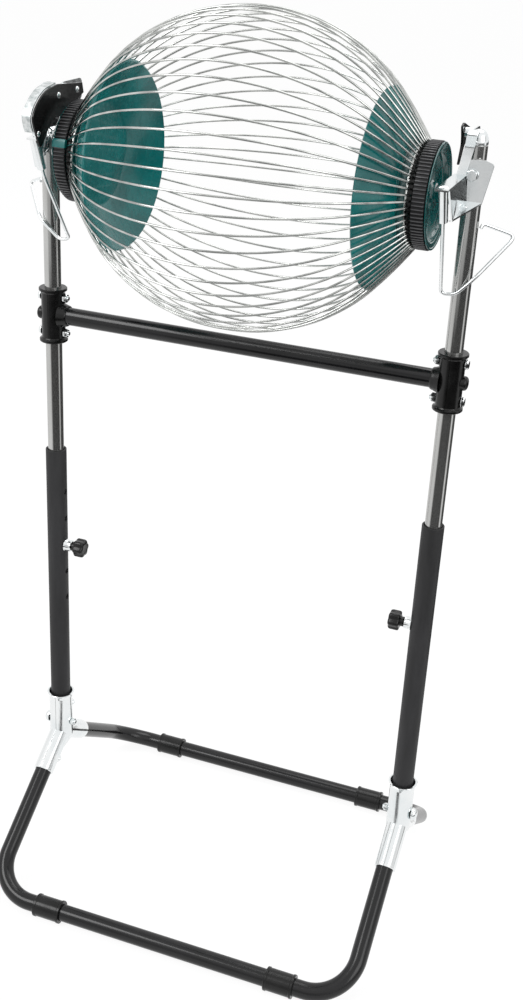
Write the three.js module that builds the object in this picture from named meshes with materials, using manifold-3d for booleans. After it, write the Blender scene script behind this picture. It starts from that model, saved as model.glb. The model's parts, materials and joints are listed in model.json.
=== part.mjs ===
// Rolling wire-cage tennis ball hopper on a folding-height tube stand.
// Millimetres, +Z up, floor at z = 0, cage axle along X, the user stands at -Y.

import * as THREE from 'three';
import { mergeVertices } from 'three/addons/utils/BufferGeometryUtils.js';
import Module from 'manifold-3d';

const wasm = await Module();
wasm.setup();

// Driving dimensions of the stand
const postSpacing = 426;
const baseTubeDiameter = 19;
const baseTubeWall = 1.5;
const baseTubeHeight = 11.5;
const barOffset = 169;
const legRise = 88;
const legStart = 42;
const legBendRadius = 48;
const sleeveSpacing = 278;
const sleeveLength = 32;
const sleeveWall = 2.6;
const lowerPostDiameter = 22.8;
const lowerPostWall = 2.1;
const lowerPostBottom = 152;
const chromePostDiameter = 17.5;
const chromePostWall = 1.5;
const holePitch = 33.5;
const holeDiameter = 6.8;
const crossBarDiameter = 17.5;

// Driving dimensions of the cage
const axleHeight = 826;
const axleY = -3.3;
const axleDiameter = 11;
const cageHalfLength = 168.2;
const cageRadius = 148.2;
const wireDiameter = 2.4;
const hoopWireDiameter = 3.4;
const wireCount = 56;
const sectorCount = 4;
const hoopX = 163.5;
const hubCoreDiameter = 85;
const bandDiameter = 98;
const bandWidth = 12;
const dishRimX = 129;
const dishEndX = 156;
const dishWall = 2.4;
const dishRimGap = 3.2;
const dishEndGap = 4;

// Heights that follow the axle: the post tops above it, then bails, clamps, lower posts and knobs below it
const postTopRise = 49;
const bailDrop = 90;
const bailToClamp = 53.5;
const clampHeight = 58;
const chromeShowing = 124.5;
const chromeInside = 194;
const knobDrop = 117.5;
const chromePostTop = axleHeight + postTopRise;
const crossBarHeight = axleHeight - bailDrop - bailToClamp - clampHeight / 2;
const lowerPostTop = crossBarHeight - clampHeight / 2 - chromeShowing;
const chromePostBottom = lowerPostTop - chromeInside;
const knobHeight = lowerPostTop - knobDrop;

// Clearances and overruns shared by every piece
const touchGap = 0.3;
const slideGap = 0.45;
const cutOverrun = 3;
const joinDepth = 0.6;
const mergeTolerance = 1e-4;

// Facets of round pieces
const tubeSides = 12;
const boltSides = 8;
const bailSides = 6;
const wireSides = 4;
const wireSteps = 10;
const bendSteps = 5;
const boreSides = 8;
const hexSides = 6;
const springSides = 5;
const latheSides = 32;

// Finishes
const paint = {
  blackSteel: { color: 0x17181a, roughness: 0.45, metalness: 0.3 },
  blackPlastic: { color: 0x141415, roughness: 0.6, metalness: 0 },
  chrome: { color: 0xd8dadc, roughness: 0.08, metalness: 1 },
  zinc: { color: 0xc9d0d4, roughness: 0.28, metalness: 1 },
  teal: { color: 0x00544f, roughness: 0.4, metalness: 0 },
  wire: { color: 0x8d9092, roughness: 0.25, metalness: 1 },
};

const model = new THREE.Group();

// A route is a list of points joined by straight runs; each point is one station of a swept tube.
class Route extends THREE.Curve {
  constructor(points) {
    super();
    this.points = points;
  }

  getPoint(share) {
    const runs = this.points.length - 1;
    const place = THREE.MathUtils.clamp(share, 0, 1) * runs;
    const run = Math.min(Math.floor(place), runs - 1);
    return this.points[run].clone().lerp(this.points[run + 1], place - run);
  }

  getPointAt(share) {
    return this.getPoint(share);
  }

  getTangent(share) {
    const last = this.points.length - 1;
    const station = Math.round(share * last);
    const before = this.points[Math.max(station - 1, 0)];
    const here = this.points[station];
    const after = this.points[Math.min(station + 1, last)];
    const arriving = here.clone().sub(before).normalize();
    const leaving = after.clone().sub(here).normalize();
    return arriving.add(leaving).normalize();
  }

  getTangentAt(share) {
    return this.getTangent(share);
  }
}

// Turns a closed geometry into a solid that can be joined and cut.
function solid(geometry) {
  const bare = geometry.index ? geometry.toNonIndexed() : geometry.clone();
  bare.deleteAttribute('normal');
  bare.deleteAttribute('uv');
  const merged = mergeVertices(bare, mergeTolerance);
  return new wasm.Manifold(new wasm.Mesh({
    numProp: 3,
    vertProperties: new Float32Array(merged.attributes.position.array),
    triVerts: new Uint32Array(merged.index.array),
  }));
}

// Turns a solid back into a geometry.
function geometryOf(body) {
  const mesh = body.getMesh();
  const places = new Float32Array(mesh.numVert * 3);
  for (let vertex = 0; vertex < mesh.numVert; vertex += 1) {
    for (let axis = 0; axis < 3; axis += 1) {
      places[vertex * 3 + axis] = mesh.vertProperties[vertex * mesh.numProp + axis];
    }
  }
  const geometry = new THREE.BufferGeometry();
  geometry.setAttribute('position', new THREE.BufferAttribute(places, 3));
  geometry.setIndex(new THREE.BufferAttribute(new Uint32Array(mesh.triVerts), 1));
  geometry.computeVertexNormals();
  return geometry;
}

// The solid seen in a mirror that stands at x = 0.
function mirrored(body) {
  return body.mirror([1, 0, 0]);
}

function join(...bodies) {
  return bodies.reduce((whole, body) => whole.add(body));
}

function addNode(name, body, finish) {
  const mesh = new THREE.Mesh(geometryOf(body), new THREE.MeshStandardMaterial(paint[finish]));
  mesh.name = name;
  model.add(mesh);
}

// A piece that is made for the right side (+X) and stands mirrored on the left.
function addPair(name, body, finish) {
  addNode(`right_${name}`, body, finish);
  addNode(`left_${name}`, mirrored(body), finish);
}

function at(x, y, z) {
  return new THREE.Vector3(x, y, z);
}

function polygon(radius, sides, turn = 0) {
  const corners = [];
  for (let side = 0; side < sides; side += 1) {
    const angle = turn + (side * 2 * Math.PI) / sides;
    corners.push(new THREE.Vector2(radius * Math.cos(angle), radius * Math.sin(angle)));
  }
  return corners;
}

// A round bar or tube swept along stations; bore is the hole's radius, zero for a solid bar.
function sweep(points, radius, bore = 0, sides = tubeSides, holeSides = boreSides) {
  const section = new THREE.Shape(polygon(radius, sides));
  if (bore > 0) section.holes.push(new THREE.Path(polygon(bore, holeSides)));
  return solid(new THREE.ExtrudeGeometry(section, {
    steps: points.length - 1,
    extrudePath: new Route(points),
  }));
}

function rod(from, to, radius, sides = tubeSides) {
  return sweep([from, to], radius, 0, sides);
}

function block(low, high) {
  const size = high.clone().sub(low);
  const geometry = new THREE.BoxGeometry(size.x, size.y, size.z);
  geometry.translate((low.x + high.x) / 2, (low.y + high.y) / 2, (low.z + high.z) / 2);
  return solid(geometry);
}

// A flat plate that lies in a YZ plane, from xLow to xHigh; outline points are [y, z].
function plateYZ(outline, xLow, xHigh) {
  const shape = new THREE.Shape(outline.map(([y, z]) => new THREE.Vector2(y, z)));
  const geometry = new THREE.ExtrudeGeometry(shape, { depth: xHigh - xLow, bevelEnabled: false });
  geometry.applyMatrix4(new THREE.Matrix4().makeBasis(at(0, 1, 0), at(0, 0, 1), at(1, 0, 0)));
  geometry.translate(xLow, 0, 0);
  return solid(geometry);
}

// A plate that lies in an XZ plane, from yLow to yHigh; outline points are [x, z].
function plateXZ(outline, yLow, yHigh) {
  const shape = new THREE.Shape(outline.map(([x, z]) => new THREE.Vector2(x, z)));
  const geometry = new THREE.ExtrudeGeometry(shape, { depth: yHigh - yLow, bevelEnabled: false });
  geometry.applyMatrix4(new THREE.Matrix4().makeBasis(at(1, 0, 0), at(0, 0, 1), at(0, -1, 0)));
  geometry.translate(0, yHigh, 0);
  return solid(geometry);
}

// A plate that lies in an XY plane, from zLow to zHigh; outline points are [x, y].
function plateXY(outline, zLow, zHigh) {
  const shape = new THREE.Shape(outline.map(([x, y]) => new THREE.Vector2(x, y)));
  const geometry = new THREE.ExtrudeGeometry(shape, { depth: zHigh - zLow, bevelEnabled: false });
  geometry.translate(0, 0, zLow);
  return solid(geometry);
}

// A strip of sheet that follows points [y, z], thickness wide on the left of the path, xLow to xHigh.
function stripYZ(path, thickness, xLow, xHigh) {
  const inside = path.map(([y, z], index) => {
    const before = path[Math.max(index - 1, 0)];
    const after = path[Math.min(index + 1, path.length - 1)];
    const arriving = new THREE.Vector2(y - before[0], z - before[1]).normalize();
    const leaving = new THREE.Vector2(after[0] - y, after[1] - z).normalize();
    const along = arriving.clone().add(leaving).normalize();
    const stretch = 1 / Math.max(along.dot(index === 0 ? leaving : arriving), 1 / 2);
    return [y - along.y * thickness * stretch, z + along.x * thickness * stretch];
  });
  return plateYZ([...path, ...inside.reverse()], xLow, xHigh);
}

// A closed lathe profile [radius, place] that runs anticlockwise, so that the turned faces look outward.
function closedProfile(profile) {
  const points = profile.map(([radius, place]) => new THREE.Vector2(radius, place));
  if (THREE.ShapeUtils.area(points) < 0) points.reverse();
  return [...points, points[0].clone()];
}

// A turned piece about the line y = axleY, z = axleHeight; profile points are [x, radius].
function turnedOnAxle(profile, sides = latheSides) {
  const geometry = new THREE.LatheGeometry(closedProfile(profile.map(([x, radius]) => [radius, x])), sides);
  geometry.applyMatrix4(new THREE.Matrix4().makeBasis(at(0, 1, 0), at(1, 0, 0), at(0, 0, -1)));
  geometry.translate(0, axleY, axleHeight);
  return solid(geometry);
}

// A turned piece about a vertical line through x, y; profile points are [radius, z].
function turnedUpright(profile, x, y, sides = tubeSides) {
  const geometry = new THREE.LatheGeometry(closedProfile(profile), sides);
  geometry.rotateX(Math.PI / 2);
  geometry.translate(x, y, 0);
  return solid(geometry);
}

// A hexagon-headed bolt along X with its nut on the far end.
function boltAlongX(xHead, xTip, y, z, size) {
  const way = Math.sign(xTip - xHead);
  const head = rod(at(xHead - way * size.head, y, z), at(xHead, y, z), size.across / 2, hexSides);
  const shank = rod(at(xHead - way * joinDepth, y, z), at(xTip, y, z), size.shank / 2, boltSides);
  const nutFrom = xTip - way * (size.nut + size.stickOut);
  const nut = rod(at(nutFrom, y, z), at(nutFrom + way * size.nut, y, z), size.nutAcross / 2, hexSides);
  return join(shank, head, nut);
}

// Places that several pieces share
const postX = postSpacing / 2;
const baseTubeRadius = baseTubeDiameter / 2;
const baseTubeBore = baseTubeRadius - baseTubeWall;
const lowerPostRadius = lowerPostDiameter / 2;
const chromePostRadius = chromePostDiameter / 2;
const crossBarRadius = crossBarDiameter / 2;
const wireRadius = wireDiameter / 2;
const axleRadius = axleDiameter / 2;
const legLength = Math.hypot(barOffset - legStart, legRise);
const legSlope = legRise / (barOffset - legStart);
const sleeveX = sleeveSpacing / 2;

// Base tubes: a leg comes down from the bracket, bends in its own tilted plane and runs along X.
const legTipInset = 34;
const barJointGap = 1;

function legPoint(x, alongLeg, side) {
  const share = alongLeg / legLength;
  const y = side * (barOffset - (barOffset - legStart) * share);
  return at(x, y, baseTubeHeight + legRise * share);
}

function legRoute(side) {
  const points = [legPoint(postX, legLength + legTipInset, side)];
  for (let step = 0; step <= bendSteps; step += 1) {
    const angle = (step / bendSteps) * (Math.PI / 2);
    const x = postX - legBendRadius * (1 - Math.cos(angle));
    points.push(legPoint(x, legBendRadius * (1 - Math.sin(angle)), side));
  }
  points.push(legPoint(sleeveX + barJointGap / 2, 0, side));
  return points;
}

const sides = { front: -1, rear: 1 };
for (const [end, side] of Object.entries(sides)) {
  addPair(`${end}_leg`, sweep(legRoute(side), baseTubeRadius, baseTubeBore), 'blackSteel');
  const barEnd = sleeveX - barJointGap / 2;
  const bar = sweep(
    [at(-barEnd, side * barOffset, baseTubeHeight), at(barEnd, side * barOffset, baseTubeHeight)],
    baseTubeRadius,
    baseTubeBore,
  );
  addNode(`${end}_bar`, bar, 'blackSteel');
}

// Sleeves: plastic couplings that hold leg and bar together and stand on the floor with a flat.
const sleeveRimWidth = 4;
const sleeveRimRise = 1.2;
const sleeveBore = baseTubeRadius + touchGap;
const sleeveRadius = sleeveBore + sleeveWall;

function sleeve(side) {
  const y = side * barOffset;
  const low = sleeveX - sleeveLength / 2;
  const high = sleeveX + sleeveLength / 2;
  const body = rod(at(low, y, baseTubeHeight), at(high, y, baseTubeHeight), sleeveRadius);
  const rimRadius = sleeveRadius + sleeveRimRise;
  const rims = [low, high - sleeveRimWidth].map((x) => rod(
    at(x, y, baseTubeHeight),
    at(x + sleeveRimWidth, y, baseTubeHeight),
    rimRadius,
  ));
  const bore = rod(
    at(low - cutOverrun, y, baseTubeHeight),
    at(high + cutOverrun, y, baseTubeHeight),
    sleeveBore,
  );
  const floorCut = block(
    at(low - cutOverrun, y - 2 * sleeveRadius, -2 * sleeveRadius),
    at(high + cutOverrun, y + 2 * sleeveRadius, 0),
  );
  return join(body, ...rims).subtract(bore).subtract(floorCut);
}

for (const [end, side] of Object.entries(sides)) {
  addPair(`${end}_sleeve`, sleeve(side), 'blackPlastic');
}

// Base brackets: two pressed shells that meet in the plane of the post and clamp post and legs.
const bracketWall = 2;
const bracketMouthTop = 183;
const bracketMouthFlare = 2.4;
const bracketMouthDepth = 7;
const bracketArmReach = 6;
const lipWidth = 9;
const lipThickness = 2;
const bracketBoltDiameter = 5;
const bracketPost = lowerPostRadius + touchGap;
const bracketArm = baseTubeRadius + touchGap;
const apexHeight = baseTubeHeight + legRise + legSlope * legStart;
const armAngle = Math.atan(legSlope);

function alongArm(distance, side, x = postX) {
  return at(x, side * distance * Math.cos(armAngle), apexHeight - distance * Math.sin(armAngle));
}

const armLength = legStart / Math.cos(armAngle) + bracketArmReach;
const rearLip = lowerPostRadius + bracketWall + lipWidth;
const lipTop = bracketMouthTop - bracketMouthDepth - lipThickness;
const underLipOut = bracketArm + bracketWall + lipWidth;
const underLipEnd = 46;
const underLipTurn = 22;
const underBoltAt = 33.6;
const throughBoltDrop = 10;

// A place in the plane of the seam: distance along an arm, then distance below its middle line.
function besideArm(along, below, side) {
  const y = side * (along * Math.cos(armAngle) - below * Math.sin(armAngle));
  return [y, apexHeight - along * Math.sin(armAngle) - below * Math.cos(armAngle)];
}

const [underBoltY, underBoltZ] = besideArm(underBoltAt, underLipOut - lipWidth / 2, sides.front);
const bracketBoltSize = {
  head: 3.4, across: 9, nutAcross: 9, shank: bracketBoltDiameter, nut: 4, stickOut: 1.6,
};
const throughBoltSize = { ...bracketBoltSize, head: 6.5, across: 14 };
const lipFace = lipThickness + touchGap / 2 + touchGap;
const bracketBolts = [
  {
    y: 0,
    z: lowerPostBottom - throughBoltDrop,
    face: bracketPost + bracketWall + touchGap,
    size: throughBoltSize,
  },
  { y: rearLip - lipWidth / 2, z: lipTop - 2 * lipWidth, face: lipFace, size: bracketBoltSize },
  { y: underBoltY, z: underBoltZ, face: lipFace, size: bracketBoltSize },
];

function bracketBlank() {
  const outer = bracketPost + bracketWall;
  const socket = turnedUpright([
    [0, apexHeight - outer / 2],
    [outer, apexHeight - outer / 2],
    [outer, bracketMouthTop - bracketMouthDepth],
    [outer + bracketMouthFlare, bracketMouthTop],
    [0, bracketMouthTop],
  ], postX, 0);
  const arms = Object.values(sides).map((side) => rod(
    at(postX, 0, apexHeight),
    alongArm(armLength, side),
    bracketArm + bracketWall,
  ));
  const lipInner = postX - lipThickness - touchGap / 2;
  const lipOuter = postX + lipThickness + touchGap / 2;
  const uprightLip = plateYZ([
    [0, apexHeight],
    [rearLip, apexHeight + lipWidth],
    [rearLip, lipTop],
    [0, lipTop],
  ], lipInner, lipOuter);
  const underLip = plateYZ([
    [0, apexHeight],
    besideArm(underLipEnd, bracketArm, sides.front),
    besideArm(underLipEnd, underLipOut, sides.front),
    besideArm(underLipTurn, underLipOut, sides.front),
    besideArm(underLipTurn, underLipOut, sides.rear),
    besideArm(underBoltAt, bracketArm, sides.rear),
  ], lipInner, lipOuter);
  return join(socket, ...arms, uprightLip, underLip);
}

function bracketShells() {
  const reach = rearLip + armLength;
  const postBore = rod(
    at(postX, 0, lowerPostBottom - touchGap),
    at(postX, 0, bracketMouthTop + cutOverrun),
    bracketPost,
  );
  const armBores = Object.values(sides).map((side) => rod(
    alongArm(legStart / Math.cos(armAngle) - legTipInset - touchGap, side),
    alongArm(armLength + cutOverrun, side),
    bracketArm,
  ));
  const boltHoles = bracketBolts.map(({ y, z }) => rod(
    at(postX - reach, y, z),
    at(postX + reach, y, z),
    bracketBoltDiameter / 2 + touchGap,
    boltSides,
  ));
  const hollow = join(postBore, ...armBores, ...boltHoles);
  const blank = bracketBlank().subtract(hollow);
  const halfLow = at(postX, -reach, -cutOverrun);
  const halfHigh = at(postX + reach, reach, bracketMouthTop + cutOverrun);
  const seam = touchGap / 2;
  const outerHalf = block(halfLow.clone().setX(postX + seam), halfHigh);
  const innerHalf = block(halfLow.clone().setX(postX - reach), halfHigh.clone().setX(postX - seam));
  return { outer: blank.intersect(outerHalf), inner: blank.intersect(innerHalf) };
}

const shells = bracketShells();
addPair('bracket_outer_shell', shells.outer, 'zinc');
addPair('bracket_inner_shell', shells.inner, 'zinc');

bracketBolts.forEach(({ y, z, face, size }, index) => {
  const tip = postX - face - size.nut - size.stickOut;
  addPair(`bracket_bolt_${index + 1}`, boltAlongX(postX + face, tip, y, z, size), 'zinc');
});

// Lower posts: black tubes with a row of height holes on their inner side.
const holeSteps = [-2, -1, 0, 1, 2];

function lowerPost() {
  const tube = sweep(
    [at(postX, 0, lowerPostBottom), at(postX, 0, lowerPostTop)],
    lowerPostRadius,
    lowerPostRadius - lowerPostWall,
    tubeSides,
    tubeSides,
  );
  const holes = holeSteps.map((step) => rod(
    at(postX - lowerPostRadius - cutOverrun, 0, knobHeight - step * holePitch),
    at(postX - chromePostRadius, 0, knobHeight - step * holePitch),
    holeDiameter / 2,
    boltSides,
  ));
  return tube.subtract(join(...holes));
}

addPair('lower_post', lowerPost(), 'blackSteel');

// Clamp knobs: a lobed head on a screw that runs through a bushing and the post's middle hole.
const bushingLength = 7;
const bushingDiameter = 13;
const knobLobes = 6;
const knobRadius = 10.5;
const knobLobeDepth = 1.6;
const knobLength = 12;
const knobNeckLength = 4;
const knobNeckRadius = 5.2;
const screwRadius = holeDiameter / 2 - touchGap;

function bushing() {
  const from = postX - lowerPostRadius - bushingLength;
  const body = rod(at(from, 0, knobHeight), at(postX, 0, knobHeight), bushingDiameter / 2);
  const post = rod(
    at(postX, 0, knobHeight - bushingDiameter),
    at(postX, 0, knobHeight + bushingDiameter),
    lowerPostRadius + touchGap,
  );
  const farSide = block(
    at(postX - lowerPostRadius / 2, -bushingDiameter, knobHeight - bushingDiameter),
    at(postX + bushingDiameter, bushingDiameter, knobHeight + bushingDiameter),
  );
  const bore = rod(
    at(from - cutOverrun, 0, knobHeight),
    at(postX, 0, knobHeight),
    holeDiameter / 2,
    boltSides,
  );
  return body.subtract(join(post, farSide)).subtract(bore);
}

function knob() {
  const back = postX - lowerPostRadius - bushingLength - touchGap;
  const corners = [];
  const pointsPerLobe = 8;
  for (let point = 0; point < knobLobes * pointsPerLobe; point += 1) {
    const angle = (point * 2 * Math.PI) / (knobLobes * pointsPerLobe);
    const radius = knobRadius - (knobLobeDepth * (1 - Math.cos(angle * knobLobes))) / 2;
    corners.push([radius * Math.cos(angle), knobHeight + radius * Math.sin(angle)]);
  }
  const neckTop = back - knobNeckLength;
  const head = plateYZ(corners, neckTop - knobLength, neckTop);
  const neck = rod(at(neckTop - joinDepth, 0, knobHeight), at(back, 0, knobHeight), knobNeckRadius);
  const tip = postX - chromePostRadius - touchGap;
  const screw = rod(
    at(neckTop - joinDepth, 0, knobHeight),
    at(tip, 0, knobHeight),
    screwRadius,
    boltSides,
  );
  return join(head, neck, screw);
}

addPair('knob_bushing', bushing(), 'zinc');
addPair('knob', knob(), 'blackPlastic');

// Chrome posts: they slide in the lower posts and carry everything above.
const clampBoltInset = 10;
const clampBoltDiameter = 5;
const flangeBoltDiameter = 6;
const flangeBoltRise = 24;
const flangeBoltHeight = axleHeight + flangeBoltRise;
const clampBoltOffset = clampHeight / 2 - clampBoltInset;
const clampBoltHeights = [crossBarHeight - clampBoltOffset, crossBarHeight + clampBoltOffset];

function chromePost() {
  const tube = sweep(
    [at(postX, 0, chromePostBottom), at(postX, 0, chromePostTop)],
    chromePostRadius,
    chromePostRadius - chromePostWall,
    tubeSides,
    tubeSides,
  );
  const holes = clampBoltHeights.map((z) => rod(
    at(postX - 2 * chromePostRadius, 0, z),
    at(postX + 2 * chromePostRadius, 0, z),
    clampBoltDiameter / 2 + touchGap,
    boltSides,
  ));
  const flangeHole = rod(
    at(postX, -2 * chromePostRadius, flangeBoltHeight),
    at(postX, 0, flangeBoltHeight),
    flangeBoltDiameter / 2 + touchGap,
    boltSides,
  );
  return tube.subtract(join(...holes, flangeHole));
}

addPair('chrome_post', chromePost(), 'chrome');

// Post caps: domed plugs pressed into the open tops.
const capPlugDepth = 12;
const capRim = 2;
const capHeight = 13;
const capDomeShares = [[1, 0.35], [0.86, 0.72], [0.55, 0.93]];

addPair('post_cap', turnedUpright([
  [0, chromePostTop - capPlugDepth],
  [chromePostRadius - chromePostWall - touchGap, chromePostTop - capPlugDepth],
  [chromePostRadius - chromePostWall - touchGap, chromePostTop + touchGap],
  [chromePostRadius, chromePostTop + touchGap],
  [chromePostRadius, chromePostTop + touchGap + capRim],
  ...capDomeShares.map(([radiusShare, heightShare]) => [
    chromePostRadius * radiusShare,
    chromePostTop + touchGap + capRim + (capHeight - capRim) * heightShare,
  ]),
  [0, chromePostTop + touchGap + capHeight],
], postX, 0), 'zinc');

// Cross bar and the two-shell clamps that hold it to the chrome posts.
const clampWall = 3.4;
const clampCollarRise = 2.4;
const clampCollarWidth = 3;
const socketWall = 2.6;
const socketReach = 12;
const domeRadius = 7;
const domeRise = 5;
const clampBore = chromePostRadius + touchGap;
const clampRadius = clampBore + clampWall;

const crossBarEnd = postX - clampRadius + joinDepth;
addNode('cross_bar', sweep(
  [at(-crossBarEnd, 0, crossBarHeight), at(crossBarEnd, 0, crossBarHeight)],
  crossBarRadius,
  crossBarRadius - baseTubeWall,
), 'blackSteel');

function clampShells() {
  const low = crossBarHeight - clampHeight / 2;
  const high = crossBarHeight + clampHeight / 2;
  const collar = clampRadius + clampCollarRise;
  const body = turnedUpright([
    [0, low],
    [collar, low],
    [collar, low + clampCollarWidth],
    [clampRadius, low + clampCollarWidth + clampCollarRise],
    [clampRadius, high - clampCollarWidth - clampCollarRise],
    [collar, high - clampCollarWidth],
    [collar, high],
    [0, high],
  ], postX, 0);
  const socketRadius = crossBarRadius + touchGap + socketWall;
  const socket = rod(
    at(postX - clampRadius - socketReach, 0, crossBarHeight),
    at(postX, 0, crossBarHeight),
    socketRadius,
  );
  const dome = rod(
    at(postX, 0, crossBarHeight),
    at(postX + clampRadius + domeRise, 0, crossBarHeight),
    domeRadius,
  );
  const postBore = rod(at(postX, 0, low - cutOverrun), at(postX, 0, high + cutOverrun), clampBore);
  const barBore = rod(
    at(postX - clampRadius - socketReach - cutOverrun, 0, crossBarHeight),
    at(crossBarEnd + touchGap, 0, crossBarHeight),
    crossBarRadius + touchGap,
  );
  const boltHoles = clampBoltHeights.map((z) => rod(
    at(postX - 3 * clampRadius, 0, z),
    at(postX + 3 * clampRadius, 0, z),
    clampBoltDiameter / 2 + touchGap,
    boltSides,
  ));
  const blank = join(body, socket, dome).subtract(join(postBore, barBore, ...boltHoles));
  const reach = 3 * clampRadius;
  const seam = touchGap / 2;
  const outerHalf = block(
    at(postX + seam, -reach, low - cutOverrun),
    at(postX + reach, reach, high + cutOverrun),
  );
  const innerHalf = block(
    at(postX - reach, -reach, low - cutOverrun),
    at(postX - seam, reach, high + cutOverrun),
  );
  return { outer: blank.intersect(outerHalf), inner: blank.intersect(innerHalf) };
}

const clamps = clampShells();
addPair('clamp_outer_shell', clamps.outer, 'blackPlastic');
addPair('clamp_inner_shell', clamps.inner, 'blackPlastic');

const clampBoltSize = {
  head: 3.2,
  across: 8.4,
  nutAcross: 8.4,
  shank: clampBoltDiameter,
  nut: 4,
  stickOut: 1.8,
};
clampBoltHeights.forEach((z, index) => {
  const face = clampRadius + touchGap;
  const tip = postX - face - clampBoltSize.nut - clampBoltSize.stickOut;
  const name = index === 0 ? 'clamp_lower_bolt' : 'clamp_upper_bolt';
  addPair(name, boltAlongX(postX + face, tip, 0, z, clampBoltSize), 'zinc');
});

// Cradles: folded zinc sheet beside each post top that takes the hub's axle.
const sheet = 1.7;
const cradleWidth = 11.6;
const cradleOuterX = postX - chromePostRadius - touchGap;
const cradleInnerX = cradleOuterX - cradleWidth;
const shelfFront = -57;
const shelfRise = 20.5;
const shelfSkew = 0.083;
const shelfReach = 5;
const webFront = -43;
const webBack = 29;
const webDrop = 12;
const webShoulderY = 8;
const neckY = 22;
const neckRise = 42.5;
const tabFront = 5;
const tabBack = 48;
const tabLowRise = 42.5;
const tabCorner = 7;
const flangeFront = -(chromePostRadius + touchGap + sheet);
const flangeCornerReach = 18.5;
const flangeTopReach = 9.5;
const flangeBottomReach = 11;
const flangeTopRise = 38;
const flangeCornerDrop = 3;
const flangeBottomDrop = 1;
const flangeTop = axleHeight + flangeTopRise;
const flangeBottom = axleHeight - flangeBottomDrop;
const webBottom = axleHeight - webDrop;
const shelfHeight = axleHeight + shelfRise;

// The arm rises from the shelf in front of the post, leans outward and ends in a hooked tip.
const armInset = 16.55;
const armFootY = -16;
const armWidth = 10.2;
const armLean = 0.22;
const armBendRise = 48.2;
const armNoseY = -17.5;
const armNoseRise = 59.7;
const armTipY = -7;
const armTipRise = 62.4;
const bailDiameter = 3.3;
const bailRadius = bailDiameter / 2;
const knuckleRadius = 4.6;
const knuckleHeight = 31;
const knuckleLean = 13;
const knuckleX = cradleOuterX - sheet - knuckleRadius / 2 - bailDiameter / 2;
const knuckleTop = at(knuckleX, shelfFront, axleHeight + shelfRise - sheet);
const knuckleBottom = knuckleTop.clone().add(at(0, knuckleLean, -knuckleHeight));
const knuckleWay = knuckleBottom.clone().sub(knuckleTop).normalize();
const knuckleInset = 1;

// The pivot stud of the latch and the post of its spring stand on the cradle.
const latchThickness = 2;
const latchOuterX = cradleInnerX - touchGap;
const latchInnerX = latchOuterX - latchThickness;
const pivotY = 14;
const pivotRise = 55.5;
const pivotZ = axleHeight + pivotRise;
const pivotTabRise = 62;
const pivotPinRadius = 2.4;
const pivotShoulderRadius = 4.6;
const pivotHeadRadius = 4.2;
const pivotHeadThickness = 1.6;
const springPinRadius = 1.3;
const springPinY = -40;
const springPinRise = 19;
const springFootRadius = 3.3;
const springInset = 2.7;
const springX = latchInnerX - springInset;

// The web carries a tab whose top stands tabRise above the axle.
function webOutline(tabRise) {
  const tabTop = axleHeight + tabRise;
  return [
    [shelfFront, shelfHeight],
    [webFront, webBottom],
    [webBack, webBottom],
    [webBack, axleHeight + neckRise - tabCorner],
    [tabBack, axleHeight + tabLowRise],
    [tabBack, tabTop - tabCorner],
    [tabBack - tabCorner, tabTop],
    [tabFront + tabCorner, tabTop],
    [tabFront, tabTop - tabCorner],
    [tabFront, axleHeight + neckRise + tabCorner],
    [neckY, axleHeight + neckRise],
    [webShoulderY, shelfHeight],
  ];
}

// A sheet whose places move along one axis in step with their distance from a line.
// The function spot picks that distance from a place.
function skewed(body, rate, spot, axis = 0) {
  return body.warp((place) => {
    place[axis] += rate * spot(place);
  });
}

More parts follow.
